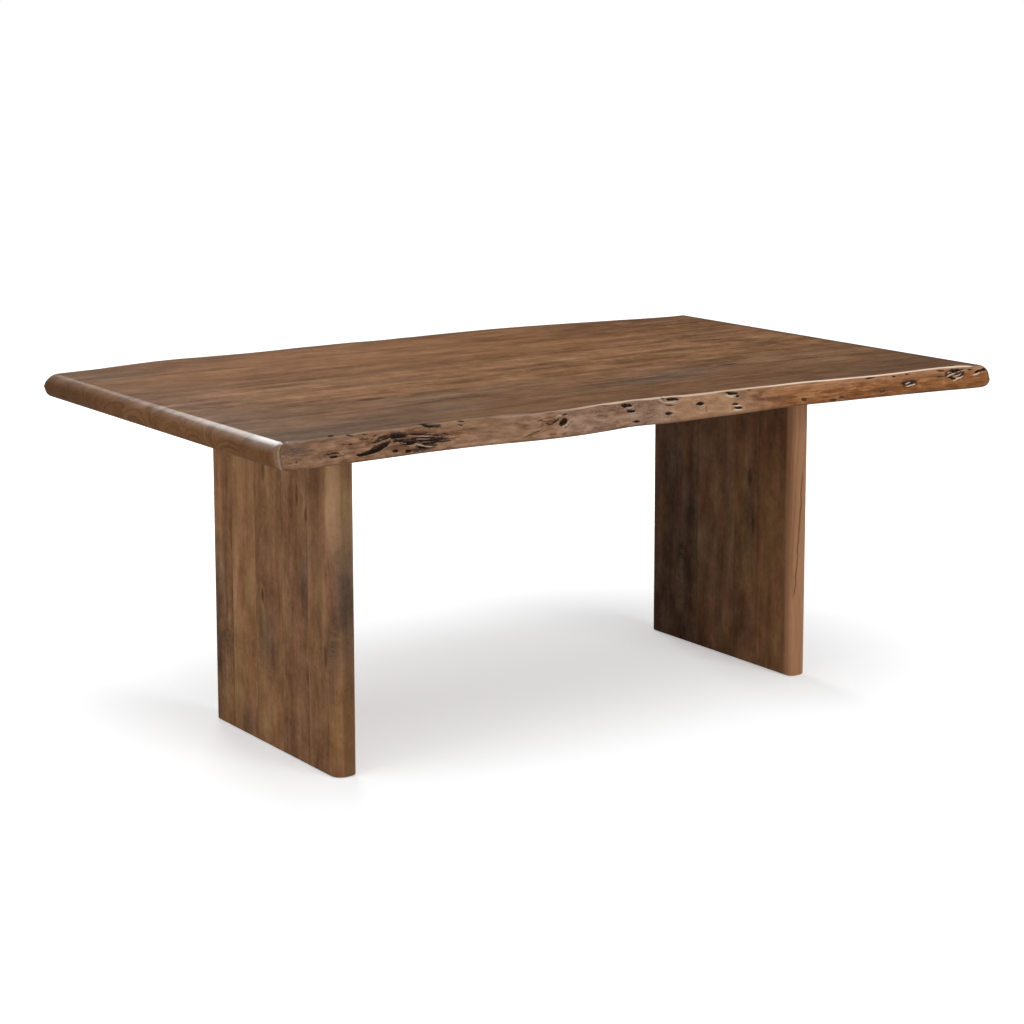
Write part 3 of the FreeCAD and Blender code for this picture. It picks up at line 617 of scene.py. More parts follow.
class Finish:
    """A material, or a world, and the nodes of its shader."""

    def __init__(self, name, world=False):
        self.block = bpy.data.worlds.new(name) if world else bpy.data.materials.new(name)
        self.block.use_nodes = True
        self.tree = self.block.node_tree
        self.tree.nodes.clear()

    def node(self, kind, settings=None, inputs=None, output=0):
        """Adds a node: its settings first, then the values or links of its sockets."""
        node = self.tree.nodes.new(kind)
        for key, value in (settings or {}).items():
            if key == "stops":
                ramp = node.color_ramp
                while len(ramp.elements) < len(value):
                    ramp.elements.new(0.5)
                for stop, (place, colour) in zip(ramp.elements, value):
                    stop.position = place
                    stop.color = (*colour, 1)
            else:
                setattr(node, key, value)
        for key, value in (inputs or {}).items():
            if isinstance(value, Value):
                self.tree.links.new(value.socket, node.inputs[key])
            elif isinstance(value, tuple) and len(value) == 3 and node.inputs[key].type == "RGBA":
                node.inputs[key].default_value = (*value, 1)
            else:
                node.inputs[key].default_value = value
        return Value(self, node.outputs[output]) if node.outputs else None

    def coordinates(self, output):
        """One kind of texture coordinate, as three values."""
        spot = self.node("ShaderNodeTexCoord", output=output)
        return [self.node("ShaderNodeSeparateXYZ", {}, {0: spot}, axis) for axis in "XYZ"]

    def place(self):
        """The point of the surface in the table's own metres."""
        return self.coordinates("Object")

    def facing(self):
        """The way the surface faces."""
        return self.coordinates("Normal")

    def noise(self, x, y, z, detail=2.0, roughness=0.5):
        spot = self.node("ShaderNodeCombineXYZ", {}, {0: x, 1: y, 2: z})
        return self.node("ShaderNodeTexNoise", {}, {
            "Vector": spot, "Scale": 1.0, "Detail": detail, "Roughness": roughness,
        })

    def ease(self, value, low, high):
        """From 0 at low to 1 at high, with a soft start and end."""
        return self.node("ShaderNodeMapRange", {"interpolation_type": "SMOOTHSTEP"}, {
            "Value": value, "From Min": low, "From Max": high,
        })

    def near(self, value, centre, full, none):
        """1 as far as full from the centre, and 0 from none on."""
        return 1 - self.ease(abs(value - centre), full, none)

    def hump(self, square, steepness=1.0):
        """A round hump over a squared distance: 1 in the middle and near 0 far out."""
        return self.node("ShaderNodeMath", {"operation": "EXPONENT"}, {0: square * -steepness})

    def share(self, value, low, high):
        """Where the value lies on the way from low to high, from 0 to 1."""
        return self.node("ShaderNodeMapRange", {}, {"Value": value, "From Min": low, "From Max": high})

    def ramp(self, value, stops):
        return self.node("ShaderNodeValToRGB", {"stops": stops}, {"Fac": value})

    def blend(self, share, first, second, kind="MIX"):
        """Mixes two colours by a share."""
        settings = {"data_type": "RGBA", "blend_type": kind, "clamp_factor": True}
        return self.node("ShaderNodeMix", settings, {0: share, 6: first, 7: second}, 2)

    def layer(self, name):
        """A value that the mesh carries on its points."""
        return self.node("ShaderNodeAttribute", {"attribute_name": name}, {}, "Fac")

    def surface(self, colour, roughness, height=None, relief=0.0, coat=0.0, coat_roughness=0.3,
                metallic=0.0, specular=0.5):
        """Ends the shader. Whatever is the same all over goes straight on the shader's sockets."""
        inputs = {
            "Base Color": colour, "Roughness": roughness, "Coat Weight": coat,
            "Coat Roughness": coat_roughness, "Metallic": metallic, "Specular IOR Level": specular,
        }
        if height is not None:
            inputs["Normal"] = self.node("ShaderNodeBump", {}, {
                "Strength": 1.0, "Distance": relief, "Height": height,
            })
        shader = self.node("ShaderNodeBsdfPrincipled", {}, inputs)
        self.node("ShaderNodeOutputMaterial", {}, {"Surface": shader})
        return self.block

    def seen(self):
        """1 for the camera's own rays and for what shiny and clear things show, and 0 for light."""
        kinds = ("Camera", "Glossy", "Transmission")
        camera, shiny, clear = (
            self.node("ShaderNodeLightPath", output="Is %s Ray" % kind) for kind in kinds
        )
        return camera + shiny + clear


WARM_BROWN = (
    (0.0, (0.060, 0.026, 0.012)),
    (0.28, (0.132, 0.061, 0.027)),
    (0.50, (0.214, 0.104, 0.047)),
    (0.72, (0.298, 0.154, 0.074)),
    (1.0, (0.410, 0.235, 0.125)),
)
GREY_BROWN = (
    (0.0, (0.036, 0.024, 0.018)),
    (0.28, (0.086, 0.057, 0.040)),
    (0.50, (0.148, 0.098, 0.069)),
    (0.72, (0.218, 0.150, 0.110)),
    (1.0, (0.320, 0.232, 0.176)),
)
PINK_TO_OLIVE = ((0.36, (1.0, 0.93, 1.0)), (0.64, (0.935, 1.0, 0.905)))   # faint casts over the browns


def wood(finish, grain, heart, seed, tone, spots=(), patches=(), ends=0.0, bend=None, calm=1.0):
    """The stained hardwood's colour, with its year lines and fibres as two more values.

    grain: the place along, across and through the board. heart: the log's middle, across and through.
    tone: contrast, lightness added, and share of grey. spots: knots, as place along and across, half
    length, half width and darkness. patches: soft areas, the same with lightness and grey added.
    ends: 1 where the surface is end grain. bend: how far marks push the year lines aside.
    calm: under 1 for wood whose years and streaks are fainter.
    """
    along, across, through = grain
    wave_a = finish.noise(along / 0.42 + seed, across / 0.15, through / 0.15, 1.5) - 0.5
    wave_b = finish.noise(along / 0.36 - seed, across / 0.13 + 5.0, through / 0.13, 1.5) - 0.5
    sideways = across - heart[0] + wave_a * 0.055
    upwards = through - heart[1] + wave_b * 0.055
    radius = (sideways * sideways + upwards * upwards) ** 0.5
    if bend is not None:
        radius = radius + bend
    # Knots darken the wood and push the years aside
    dark = 0.0
    for spot_along, spot_across, length, width, strength in spots:
        u = (along - spot_along + wave_b * 0.02) / length
        v = (across - spot_across + wave_a * 0.012) / width
        far = u * u + v * v
        radius = radius + finish.hump(far, 0.45) * 0.016
        dark = finish.ease(far + wave_b * 0.8, 1.0, 0.1) * strength + dark
    lightness, greyness = 0.0, 0.0
    for spot_along, spot_across, length, width, lift, grey in patches:
        u = (along - spot_along + wave_b * 0.10) / length
        v = (across - spot_across + wave_a * 0.04) / width
        share = finish.hump(u * u + v * v)
        lightness = share * lift + lightness
        greyness = share * grey + greyness
    # The figure, from the years and broad clouds down to single fibres
    years = finish.noise(radius / 0.0056, along / 0.9, seed * 0.37, 2.0, 0.55)
    bands = finish.noise(radius / 0.024, along / 0.5 + seed, across / 0.2, 2.0)
    clouds = finish.noise(along / 0.12 + seed, across / 0.032, through / 0.032, 2.5, 0.5)
    drifts = finish.noise(along / 0.30, across / 0.055 + seed, through / 0.055, 2.0)
    streaks = finish.noise(along / 0.20, across / 0.011 + seed, through / 0.011, 2.5, 0.55)
    lines = finish.noise(along / 0.10, across / 0.0026, through / 0.0026 + seed, 2.0, 0.6)
    fibres = finish.noise(along / 0.028, across / 0.0012, through / 0.0012 + seed, 2.0, 0.6)
    mottle = finish.noise(along / 0.060 + seed, across / 0.045, through / 0.045 + 3.0, 5.0, 0.8)
    plain = 1.0 - ends
    figure = (years - 0.5) * (0.34 * calm + ends * 0.35) + (bands - 0.5) * (0.50 + ends * 0.3)
    figure = figure + (clouds - 0.5) * 0.50 + (drifts - 0.5) * 0.52
    threads = (streaks - 0.5) * (0.42 * calm) + (lines - 0.5) * (0.21 * calm)
    figure = figure + (threads + (mottle - 0.5) * 0.85) * plain + (fibres - 0.5) * 0.14
    figure = figure * tone[0] + (0.5 + tone[1]) + lightness - dark * 0.5
    grey = finish.ease(drifts * 0.4 + clouds * 0.25 + (1 - bands) * 0.35, 0.36, 0.64) * 0.8 * tone[2]
    grey = (grey + greyness + tone[2] * 0.25) * (1 - ends * 0.8)
    colour = finish.blend(grey, finish.ramp(figure, WARM_BROWN), finish.ramp(figure, GREY_BROWN))
    pores = finish.noise(along / 0.011, across / 0.0009, through / 0.0009 + seed, 1.0)
    colour = finish.blend(finish.ease(pores, 0.60, 0.74) * 0.28, colour, (0.030, 0.016, 0.010))
    casts = finish.noise(along / 0.15 + seed, across / 0.042, through / 0.042 + 7.0, 4.0, 0.72)
    colour = finish.blend(1.0, colour, finish.ramp(casts, PINK_TO_OLIVE), "MULTIPLY")
    return colour, years, fibres


def top_wood(name, seed, heart, tone, spots=(), patches=(), natural=False):
    """Satin-oiled hardwood of the top. An outer board adds its natural edge."""
    finish = Finish(name)
    x, y, z = finish.place()
    toward_end, _, upward = finish.facing()
    ends = finish.ease(abs(toward_end), 0.15, 0.8)
    bend = finish.layer("bend") if natural else None
    # Painted sheen at each board's left end, lighter and greyer; painted shade at its right end
    end_sheen_and_shade = ((-0.88, heart[0], 0.16, 0.60, 0.04, 0.45), (0.90, heart[0], 0.55, 0.80, -0.065, 0.08))
    colour, years, fibres = wood(
        finish, (x, y, z), heart, seed, tone, spots, (*patches, *end_sheen_and_shade), ends, bend,
    )
    # End grain: dark rings with light flecks
    colour = finish.blend(ends * 0.72, colour, finish.ramp(years, (
        (0.28, (0.067, 0.029, 0.0115)), (0.72, (0.124, 0.056, 0.0225)),
    )))
    flecks = finish.noise(x / 0.004, y / 0.0036, z / 0.0034 + seed, 3.0, 0.6)
    colour = finish.blend(finish.ease(flecks, 0.52, 0.70) * ends * 0.35, colour, (0.240, 0.118, 0.050))
    # Painted shade where the top starts to roll over into the right-hand nose
    shade_on_right_roll = finish.ease(x, 0.866, 0.892) * finish.ease(upward, 0.2, 0.6)
    colour = finish.blend(shade_on_right_roll * 0.60, colour, (0.040, 0.030, 0.024))
    # Painted light: the end grain paler on the right-hand nose
    colour = finish.blend(ends * finish.ease(x, 0.2, 0.4) * 0.30, colour, (0.300, 0.205, 0.145))
    warm = finish.ease(y, 0.0, 0.25) * (1 - finish.ease(x, 0.2, 0.6)) * (1 - ends)
    colour = finish.blend(warm * 0.22, colour, (0.250, 0.108, 0.040))
    colour = finish.blend(ends * finish.ease(y, -0.15, 0.5) * 0.40, colour, (0.030, 0.016, 0.009))
    # The oil shines most on the left and right noses, and most of all near the front
    roughness = 0.66 - (fibres - 0.5) * 0.2
    gloss = 0.53 - finish.ease(y, -0.405, -0.345) * 0.23 - finish.ease(y, -0.30, 0.10) * 0.20
    gloss = gloss - finish.share(y, -0.445, -0.475) * 0.10
    polished = finish.ease(upward, 0.45, 0.85) * gloss
    coat = finish.ease(abs(toward_end), 0.03, 0.10) * polished
    height = fibres * 0.45 + years * 0.35
    if natural:
        colour, roughness, height, coat = natural_edge(
            finish, x, y, z, seed, colour, roughness, height, coat, years,
        )
    return finish.surface(colour, roughness, height, 0.0004, coat, 0.30, specular=0.006)


def edge_sapwood(finish, x, z, right, shade, mottle, grit):
    """The natural edge's wood: rusty to the right, with faded and tan places and painted sheen."""
    brown = finish.ramp(shade, (
        (0.0, (0.061, 0.030, 0.016)),
        (0.30, (0.124, 0.062, 0.034)),
        (0.55, (0.210, 0.114, 0.066)),
        (0.80, (0.300, 0.174, 0.108)),
        (1.0, (0.388, 0.247, 0.166)),
    ))
    rusty = finish.ramp(shade, (
        (0.0, (0.055, 0.019, 0.007)),
        (0.30, (0.136, 0.050, 0.016)),
        (0.52, (0.240, 0.096, 0.034)),
        (0.72, (0.326, 0.152, 0.065)),
        (1.0, (0.440, 0.245, 0.130)),
    ))
    colour = finish.blend(finish.ease(x + mottle * 0.3, 0.32, 0.56) * 0.85, brown, rusty)
    low_band = (1 - finish.ease(z, 0.718, 0.744)) * right
    colour = finish.blend(low_band * 0.30, colour, (0.100, 0.038, 0.014))
    colour = finish.blend(finish.ease(z, 0.740, 0.758) * right * 0.28, colour, (0.470, 0.285, 0.175))
    # Painted sheen: grey patches, speckled by the grain
    grey = finish.near(x, -0.190, 0.03, 0.11) + finish.near(x, -0.035, 0.03, 0.10)
    grey = grey * finish.ease(mottle * 0.25 + grit * 0.75, 0.42, 0.58)
    colour = finish.blend(grey * 0.38, colour, (0.300, 0.228, 0.196))
    faded = finish.near(x, -0.430, 0.07, 0.15)
    colour = finish.blend(faded * 0.08, colour, (0.430, 0.280, 0.180))
    tan = finish.near(x, 0.125, 0.05, 0.15)
    colour = finish.blend(tan * 0.34, colour, (0.430, 0.252, 0.140))
    # Painted shade along the foot, where the face rounds under
    return finish.blend((1 - finish.ease(z, 0.7150, 0.7205)) * 0.42, colour, (0.060, 0.032, 0.020))


def bark_pockets(finish, x, colour, grit, streak):
    """Painted lip highlights and pale eye rings round the pockets, bark and black inside, slivers over
    them.
    """
    # Painted highlights on the marks' lower lips, with the eyes' pale rings
    rim = finish.ease(finish.layer("rim") + (grit - 0.5) * 0.5, 0.22, 0.7)
    colour = finish.blend(rim * 0.72, colour, (0.42, 0.315, 0.245))
    halo = finish.ease(finish.layer("bark") + (streak - 0.5) * 0.5, 0.02, 0.5)
    colour = finish.blend(halo * 0.5, colour, (0.080, 0.042, 0.024))
    bark = finish.ease(finish.layer("bark") + (grit - 0.5) * 0.3 + (streak - 0.5) * 0.3, 0.16, 0.78)
    char = finish.ramp(grit * 0.55 + streak * 0.45, (
        (0.40, (0.010, 0.007, 0.005)), (0.54, (0.026, 0.016, 0.011)), (0.68, (0.110, 0.072, 0.050)),
    ))
    colour = finish.blend(bark, colour, char)
    sliver = finish.ease(finish.layer("sliver") + (grit - 0.5) * 0.6, 0.4, 0.75)
    colour = finish.blend(sliver * 0.80, colour, finish.ramp(x, (
        (0.0, (0.34, 0.265, 0.212)), (0.06, (0.50, 0.40, 0.325)), (0.60, (0.56, 0.45, 0.35)),
    )))
    return colour, bark


def natural_edge(finish, x, y, z, seed, colour, roughness, height, coat, years):
    """The colours of the natural edge: sapwood, rust, painted grey sheen, bark pockets and slivers."""
    # The face ends before the nose, in a line that curls in at its top and its foot
    steep = finish.layer("face")
    upper, lower = finish.share(z, 0.740, 0.7621), finish.share(z, 0.728, 0.7139)
    rounding = (1 - (1 - upper * upper) ** 0.5) * 0.020 + (1 - (1 - lower * lower) ** 0.5) * 0.009
    left = 1 - finish.ease(x, -0.1, 0.1)
    from_middle = abs(x) + rounding * left - (1 - left) * 0.010
    face = steep * (1 - finish.ease(from_middle, 0.8965, 0.8980))
    bend = finish.layer("bend")
    grit = finish.noise(x / 0.0035, y / 0.0035, z / 0.0022 + seed, 3.0, 0.6)
    mottle = finish.noise(x / 0.036, y / 0.02, z / 0.010, 3.0, 0.6)
    streak = finish.noise(x / 0.085, y / 0.02, z / 0.0032, 3.0, 0.6)
    level = finish.noise(x / 0.13 + seed, y / 0.06, z / 0.022, 1.5)
    growth = finish.noise(level * 13.0 + bend * 260.0, x / 0.6, 3.3, 2.5, 0.6)
    right = finish.ease(x, 0.20, 0.40)
    shade = (mottle - 0.5) * (1.15 - right * 0.55) + (streak - 0.5) * (0.5 + right * 0.6)
    shade = shade + 0.5 + (years - 0.5) * 0.35 + (growth - 0.5) * 0.85
    sapwood = edge_sapwood(finish, x, z, right, shade, mottle, grit)
    colour = finish.blend(face, colour, sapwood)
    # Painted shade of a groove where the face meets the end, and a painted highlight on its lip
    groove_shade = finish.near(from_middle, 0.8990, 0.0004, 0.0022) * steep
    colour = finish.blend(groove_shade * (0.45 - right * 0.35), colour, (0.050, 0.028, 0.018))
    lip_highlight = finish.near(from_middle, 0.9035, 0.0006, 0.0024) * steep
    colour = finish.blend(lip_highlight * 0.30, colour, (0.400, 0.290, 0.205))
    # The stains and the dusk round the marks, and a smudge at the left end
    stain = finish.ease(finish.layer("stain") + (streak - 0.5) * 0.9, 0.25, 0.8)
    colour = finish.blend(stain * 0.66, colour, (0.100, 0.042, 0.020))
    dusk = finish.ease(finish.layer("shade") + (streak - 0.5) * 1.0 + (grit - 0.5) * 0.5, 0.04, 0.78)
    colour = finish.blend(dusk * 0.93, colour, (0.030, 0.020, 0.016))
    u, v = (x + 0.866) / 0.042, (z - 0.747) / 0.014
    smudge = finish.hump(u * u + v * v) * (0.35 + finish.ease(grit, 0.40, 0.56) * 0.6)
    colour = finish.blend(smudge * face, colour, (0.082, 0.056, 0.046))
    # Front upper arris: a pale line, part wear, part painted highlight. Back arris: a dark line
    front = 1 - finish.ease(y, -0.1, 0.1)
    arris = finish.layer("arris")
    bright = finish.ease(x, -0.26, -0.12)
    patchy = finish.ease(streak + mottle * 0.2 + bright * 0.12, 0.30, 0.62)
    worn = finish.ease(arris, 0.30, 0.90) * patchy
    worn = worn * (0.20 + finish.ease(x, -0.40, -0.20) * 0.30 + bright * 0.20 + right * 0.30) * front
    colour = finish.blend(worn * 0.90, colour, finish.ramp(bright, (
        (0.0, (0.500, 0.375, 0.280)), (1.0, (0.740, 0.570, 0.445)),
    )))
    colour = finish.blend(arris * (1 - front) * 0.6, colour, (0.045, 0.030, 0.022))
    colour, bark = bark_pockets(finish, x, colour, grit, streak)
    roughness = roughness + bark * 0.25 - worn * 0.1
    height = height + (grit - 0.5) * face * 0.5 + bark * (grit - 0.5) * 1.5
    coat = coat * (1 - face) + arris * 0.3 * (1 - bark) * front
    return colour, roughness, height, coat


def leg_wood(name, seed, heart, tone, edges, spots=(), patches=(), crack=None):
    """The same stained hardwood with its grain upright, darker beside its two edges' glue seams.

    A stave with a drying crack up its front is pale there: paler wood and a painted highlight.
    """
    finish = Finish(name)
    x, y, z = finish.place()
    colour, years, fibres = wood(finish, (z, y, x), heart, seed, tone, spots, patches, calm=0.42)
    curls = finish.noise(z / 0.0065, y / 0.028 + seed, x / 0.028, 2.0)
    curly = finish.ease(finish.noise(z / 0.14, y / 0.045, x / 0.045 + seed, 1.0), 0.60, 0.78)
    colour = finish.blend(finish.ease(curls, 0.40, 0.64) * curly * 0.22, colour, (0.30, 0.17, 0.09))
    to_front, to_back = (abs(y - edge) for edge in edges)
    seam = 1 - finish.ease(to_front.math("MINIMUM", to_front, to_back), 0.0002, 0.0018)
    colour = finish.blend(seam * 0.30, colour, (0.045, 0.024, 0.014))
    height = fibres * 0.45 + years * 0.3
    if crack:
        crack_x, crack_z, half_length, slope = crack
        # Paler along the front rounding: paler wood and a painted highlight
        pale_and_highlit = 1 - finish.ease(y + (years - 0.5) * 0.006, -0.2460, -0.2330)
        pale_and_highlit = pale_and_highlit * (1 - finish.ease(x, 0.6380, 0.6500) * 0.45)
        colour = finish.blend(pale_and_highlit * 0.62, colour, finish.ramp(fibres * 0.3 + years * 0.7, (
            (0.25, (0.330, 0.162, 0.082)), (0.75, (0.530, 0.282, 0.156)),
        )))
        waver = finish.noise(z / 0.035, y / 0.5, x / 0.5, 2.0) - 0.5
        aside = abs(x - crack_x - (z - crack_z) * slope - waver * 0.012)
        reach = finish.near(z, crack_z, half_length * 0.8, half_length)
        front = 1 - finish.ease(y, -0.262, -0.255)
        gap = (1 - finish.ease(aside, 0.0003, 0.0019)) * reach * front
        colour = finish.blend(gap * 0.6, colour, (0.040, 0.020, 0.012))
        height = height - gap * 4.0
    roughness = 0.60 - (fibres - 0.5) * 0.2
    return finish.surface(colour, roughness, height, 0.0004, specular=0.015)


def beech():
    finish = Finish("pressed_beech")
    x, y, z = finish.place()
    flecks = finish.noise(x / 0.006, y / 0.0012, z / 0.0012, 3.0, 0.6)
    colour = finish.ramp(flecks, ((0.3, (0.42, 0.27, 0.15)), (0.7, (0.62, 0.44, 0.27))))
    return finish.surface(colour, 0.62 + flecks * 0.15, flecks, 0.0003)


def black_steel():
    finish = Finish("black_powder_coat")
    x, y, z = finish.place()
    peel = finish.noise(x / 0.0016, y / 0.0016, z / 0.0016, 2.0)
    scuffs = finish.noise(x / 0.03, y / 0.05, z / 0.03, 3.0, 0.6)
    colour = finish.ramp(scuffs, ((0.35, (0.018, 0.018, 0.019)), (0.75, (0.040, 0.040, 0.042))))
    return finish.surface(colour, 0.42 + scuffs * 0.2, peel, 0.00025)


def plated_steel():
    finish = Finish("bright_zinc")
    x, y, z = finish.place()
    crystals = finish.noise(x / 0.003, y / 0.003, z / 0.003, 3.0, 0.6)
    colour = finish.ramp(crystals, ((0.3, (0.42, 0.43, 0.45)), (0.7, (0.66, 0.67, 0.68))))
    return finish.surface(colour, 0.24 + crystals * 0.2, crystals, 0.0001, metallic=1.0)


def turned_brass():
    finish = Finish("turned_brass")
    x, y, z = finish.place()
    rings = finish.noise(z / 0.0003, x / 0.02, y / 0.02, 2.0)
    colour = finish.ramp(rings, ((0.3, (0.55, 0.36, 0.12)), (0.7, (0.78, 0.58, 0.25))))
    return finish.surface(colour, 0.22 + rings * 0.2, rings, 0.0001, metallic=1.0)


def brown_nylon():
    finish = Finish("brown_nylon")
    x, y, z = finish.place()
    grain = finish.noise(x / 0.0012, y / 0.0012, z / 0.0012, 2.0)
    colour = finish.ramp(grain, ((0.3, (0.030, 0.022, 0.018)), (0.7, (0.055, 0.042, 0.034))))
    return finish.surface(colour, 0.45 + grain * 0.15, grain, 0.0002)


TOP_TONES = (          # contrast, lightness and grey of each board, front to back
    (0.64, -0.10, 0.44), (0.72, -0.055, 0.40), (0.95, -0.025, 0.30), (1.20, 0.025, 0.06),
    (1.20, 0.005, 0.12), (1.10, -0.045, 0.08), (1.05, -0.045, 0.0), (1.0, -0.07, 0.04),
)
TOP_HEARTS = (         # the middle of the log that each board comes from
    (-0.40, 0.705), (-0.33, 0.66), (-0.17, 0.70), (-0.09, 0.64), (0.09, 0.69), (0.17, 0.65),
    (0.36, 0.70), (0.44, 0.71),
)
TOP_SPOTS = {          # small knots: place along and across, half length, half width, darkness
    3: ((-0.486, -0.152, 0.045, 0.012, 0.55), (0.427, -0.222, 0.040, 0.010, 0.6)),
    5: ((0.077, 0.030, 0.026, 0.006, 0.8), (0.197, 0.045, 0.020, 0.005, 0.7)),
    6: ((-0.540, 0.228, 0.060, 0.0045, 0.55), (0.62, 0.17, 0.030, 0.007, 0.6)),
    7: ((0.304, 0.343, 0.026, 0.006, 0.8), (-0.40, 0.31, 0.035, 0.006, 0.5)),
}
TOP_PATCHES = {        # soft areas: place and size in the same way, lightness and grey added
    1: ((-0.62, -0.42, 0.22, 0.07, 0.0, 0.25),),
    2: (
        (-0.48, -0.33, 0.22, 0.06, -0.02, 0.3), (0.14, -0.275, 0.16, 0.035, -0.13, 0.6),
        (0.60, -0.34, 0.25, 0.10, 0.04, 0.0),
    ),
    3: (
        (-0.37, -0.24, 0.18, 0.04, -0.03, 0.35), (0.30, -0.235, 0.13, 0.03, -0.12, 0.6),
        (0.0, -0.15, 0.30, 0.02, 0.08, 0.0), (0.62, -0.20, 0.25, 0.10, 0.06, 0.0),
    ),
    4: ((-0.30, -0.02, 0.35, 0.02, 0.09, 0.0),),
    5: ((0.15, 0.08, 0.30, 0.02, 0.06, 0.0),),
    7: ((0.15, 0.37, 0.30, 0.05, 0.07, 0.0), (0.65, 0.33, 0.25, 0.10, -0.04, 0.0)),
    8: (
        (-0.20, 0.47, 0.30, 0.05, 0.07, 0.0), (-0.80, 0.46, 0.18, 0.09, -0.07, 0.45),
        (0.60, 0.47, 0.30, 0.10, -0.05, 0.0),
    ),
}


def make_top():
    """The eight boards of the top, front to back."""
    front_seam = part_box("top_front_board")[1].y
    back_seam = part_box("top_back_board")[0].y
    front_spans = ((-891, -440), (-330, -215), (-110, 240), (375, 400), (450, 500), (560, 891))
    for number, (tone, heart) in enumerate(zip(TOP_TONES, TOP_HEARTS), start=1):
        if number == 1:
            node, name = "top_front_board", "front_board"
            board = natural_board(
                name, -1, front_seam, FRONT_INWARD, FRONT_SLANT, seen_marks(node, listed(FRONT_MARKS)),
                stations(front_spans, 1.35 * MM, 4 * MM), face_rows=46, seed=11,
            )
        elif number == 8:
            node, name = "top_back_board", "back_board"
            board = natural_board(
                name, 1, back_seam, BACK_INWARD, BACK_SLANT, listed(BACK_MARKS),
                stations(((-891, 891),), 1.9 * MM, 4 * MM), face_rows=36, seed=47,
            )
        else:
            node, name = "top_board_%d" % number, "inner_board_%d" % number
            low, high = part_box(node)
            board = straight_board(name, low.y, high.y)
        placed(board, node, top_wood(
            name + "_wood", 3.1 + 7.3 * number, heart, tone, TOP_SPOTS.get(number, ()),
            TOP_PATCHES.get(number, ()), natural=number in (1, 8),
        ))


LEG_TONES = {          # contrast, lightness and grey of each stave, front to back
    "left_leg": (
        (0.9, -0.06, 0.20), (1.0, -0.09, 0.25), (0.9, -0.03, 0.15), (0.9, 0.02, 0.12),
        (1.0, -0.02, 0.12),
    ),
    # The right leg's staves darken and grey towards the back: painted shade on its inner face
    "right_leg": (
        (0.9, -0.055, 0.0), (1.0, -0.03, 0.28), (0.9, -0.145, 0.50), (1.0, -0.205, 0.75),
        (0.9, -0.235, 0.80),
    ),
}
LEG_SPOTS = {          # knots and dark marks: height, place across, half height, half width, darkness
    "left_leg_stave_1": ((0.250, -0.224, 0.035, 0.008, 0.5),),
    "left_leg_stave_2": (
        (0.573, -0.119, 0.030, 0.007, 0.6), (0.537, -0.155, 0.020, 0.007, 0.7),
        (0.192, -0.153, 0.028, 0.008, 0.5),
    ),
    "left_leg_stave_3": ((0.600, 0.024, 0.030, 0.009, 0.5), (0.328, 0.037, 0.016, 0.005, 0.8)),
    "left_leg_stave_5": ((0.193, 0.190, 0.045, 0.022, 0.35),),
    "right_leg_stave_2": ((0.459, -0.109, 0.030, 0.010, 0.5), (0.349, -0.123, 0.030, 0.009, 0.6)),
    "right_leg_stave_4": ((0.227, 0.140, 0.035, 0.020, 0.3),),
}
LEG_PATCHES = {        # soft areas: place and size in the same way, lightness and grey added
    "left_leg_stave_1": (
        # The first: a painted highlight high on the leg's front rounding
        (0.630, -0.255, 0.175, 0.023, 0.54, 0.0), (0.390, -0.268, 0.110, 0.012, -0.14, 0.8),
        (0.270, -0.246, 0.080, 0.012, -0.08, 0.5), (0.090, -0.262, 0.110, 0.030, 0.08, -0.2),
    ),
    "left_leg_stave_2": (
        (0.378, -0.150, 0.060, 0.020, -0.12, 0.5), (0.080, -0.110, 0.120, 0.050, 0.14, 0.0),
    ),
    "left_leg_stave_3": (
        (0.250, 0.020, 0.060, 0.035, -0.06, 0.4), (0.080, 0.010, 0.110, 0.050, 0.18, 0.0),
    ),
    "left_leg_stave_4": (
        (0.016, 0.084, 0.050, 0.040, -0.16, 0.3), (0.400, 0.080, 0.160, 0.030, 0.05, 0.0),
        (0.170, 0.150, 0.130, 0.040, 0.14, 0.0),
    ),
    "left_leg_stave_5": (
        (0.330, 0.235, 0.080, 0.030, -0.10, 0.5), (0.160, 0.235, 0.110, 0.050, -0.34, 0.3),
    ),
    "right_leg_stave_1": (
        (0.620, -0.200, 0.180, 0.060, -0.07, 0.1), (0.080, -0.200, 0.160, 0.060, 0.08, -0.2),
        # Painted shade, high under the top
        (0.600, -0.200, 0.070, 0.060, -0.09, 0.0),
    ),
    "right_leg_stave_2": (
        (0.400, -0.110, 0.100, 0.020, -0.10, 0.3), (0.081, -0.106, 0.050, 0.030, -0.10, 0.2),
        # Painted shade, high under the top
        (0.600, -0.110, 0.070, 0.060, -0.17, 0.0),
    ),
    "right_leg_stave_3": ((0.480, 0.010, 0.120, 0.040, 0.06, -0.1),),
    "right_leg_stave_4": (
        (0.331, 0.114, 0.050, 0.030, -0.12, 0.3), (0.179, 0.112, 0.050, 0.030, -0.12, 0.3),
        # Painted shade, low at the back near the floor
        (0.000, 0.120, 0.180, 0.100, -0.12, 0.1),
    ),
    "right_leg_stave_5": (
        # The first: painted shade, low at the back near the floor
        (0.060, 0.220, 0.280, 0.100, -0.16, 0.1), (0.360, 0.250, 0.150, 0.040, -0.06, 0.1),
    ),
}
LEG_CRACK = (0.6175, 0.345, 0.160, 0.065)   # on the right leg: its x, height, half length and slope


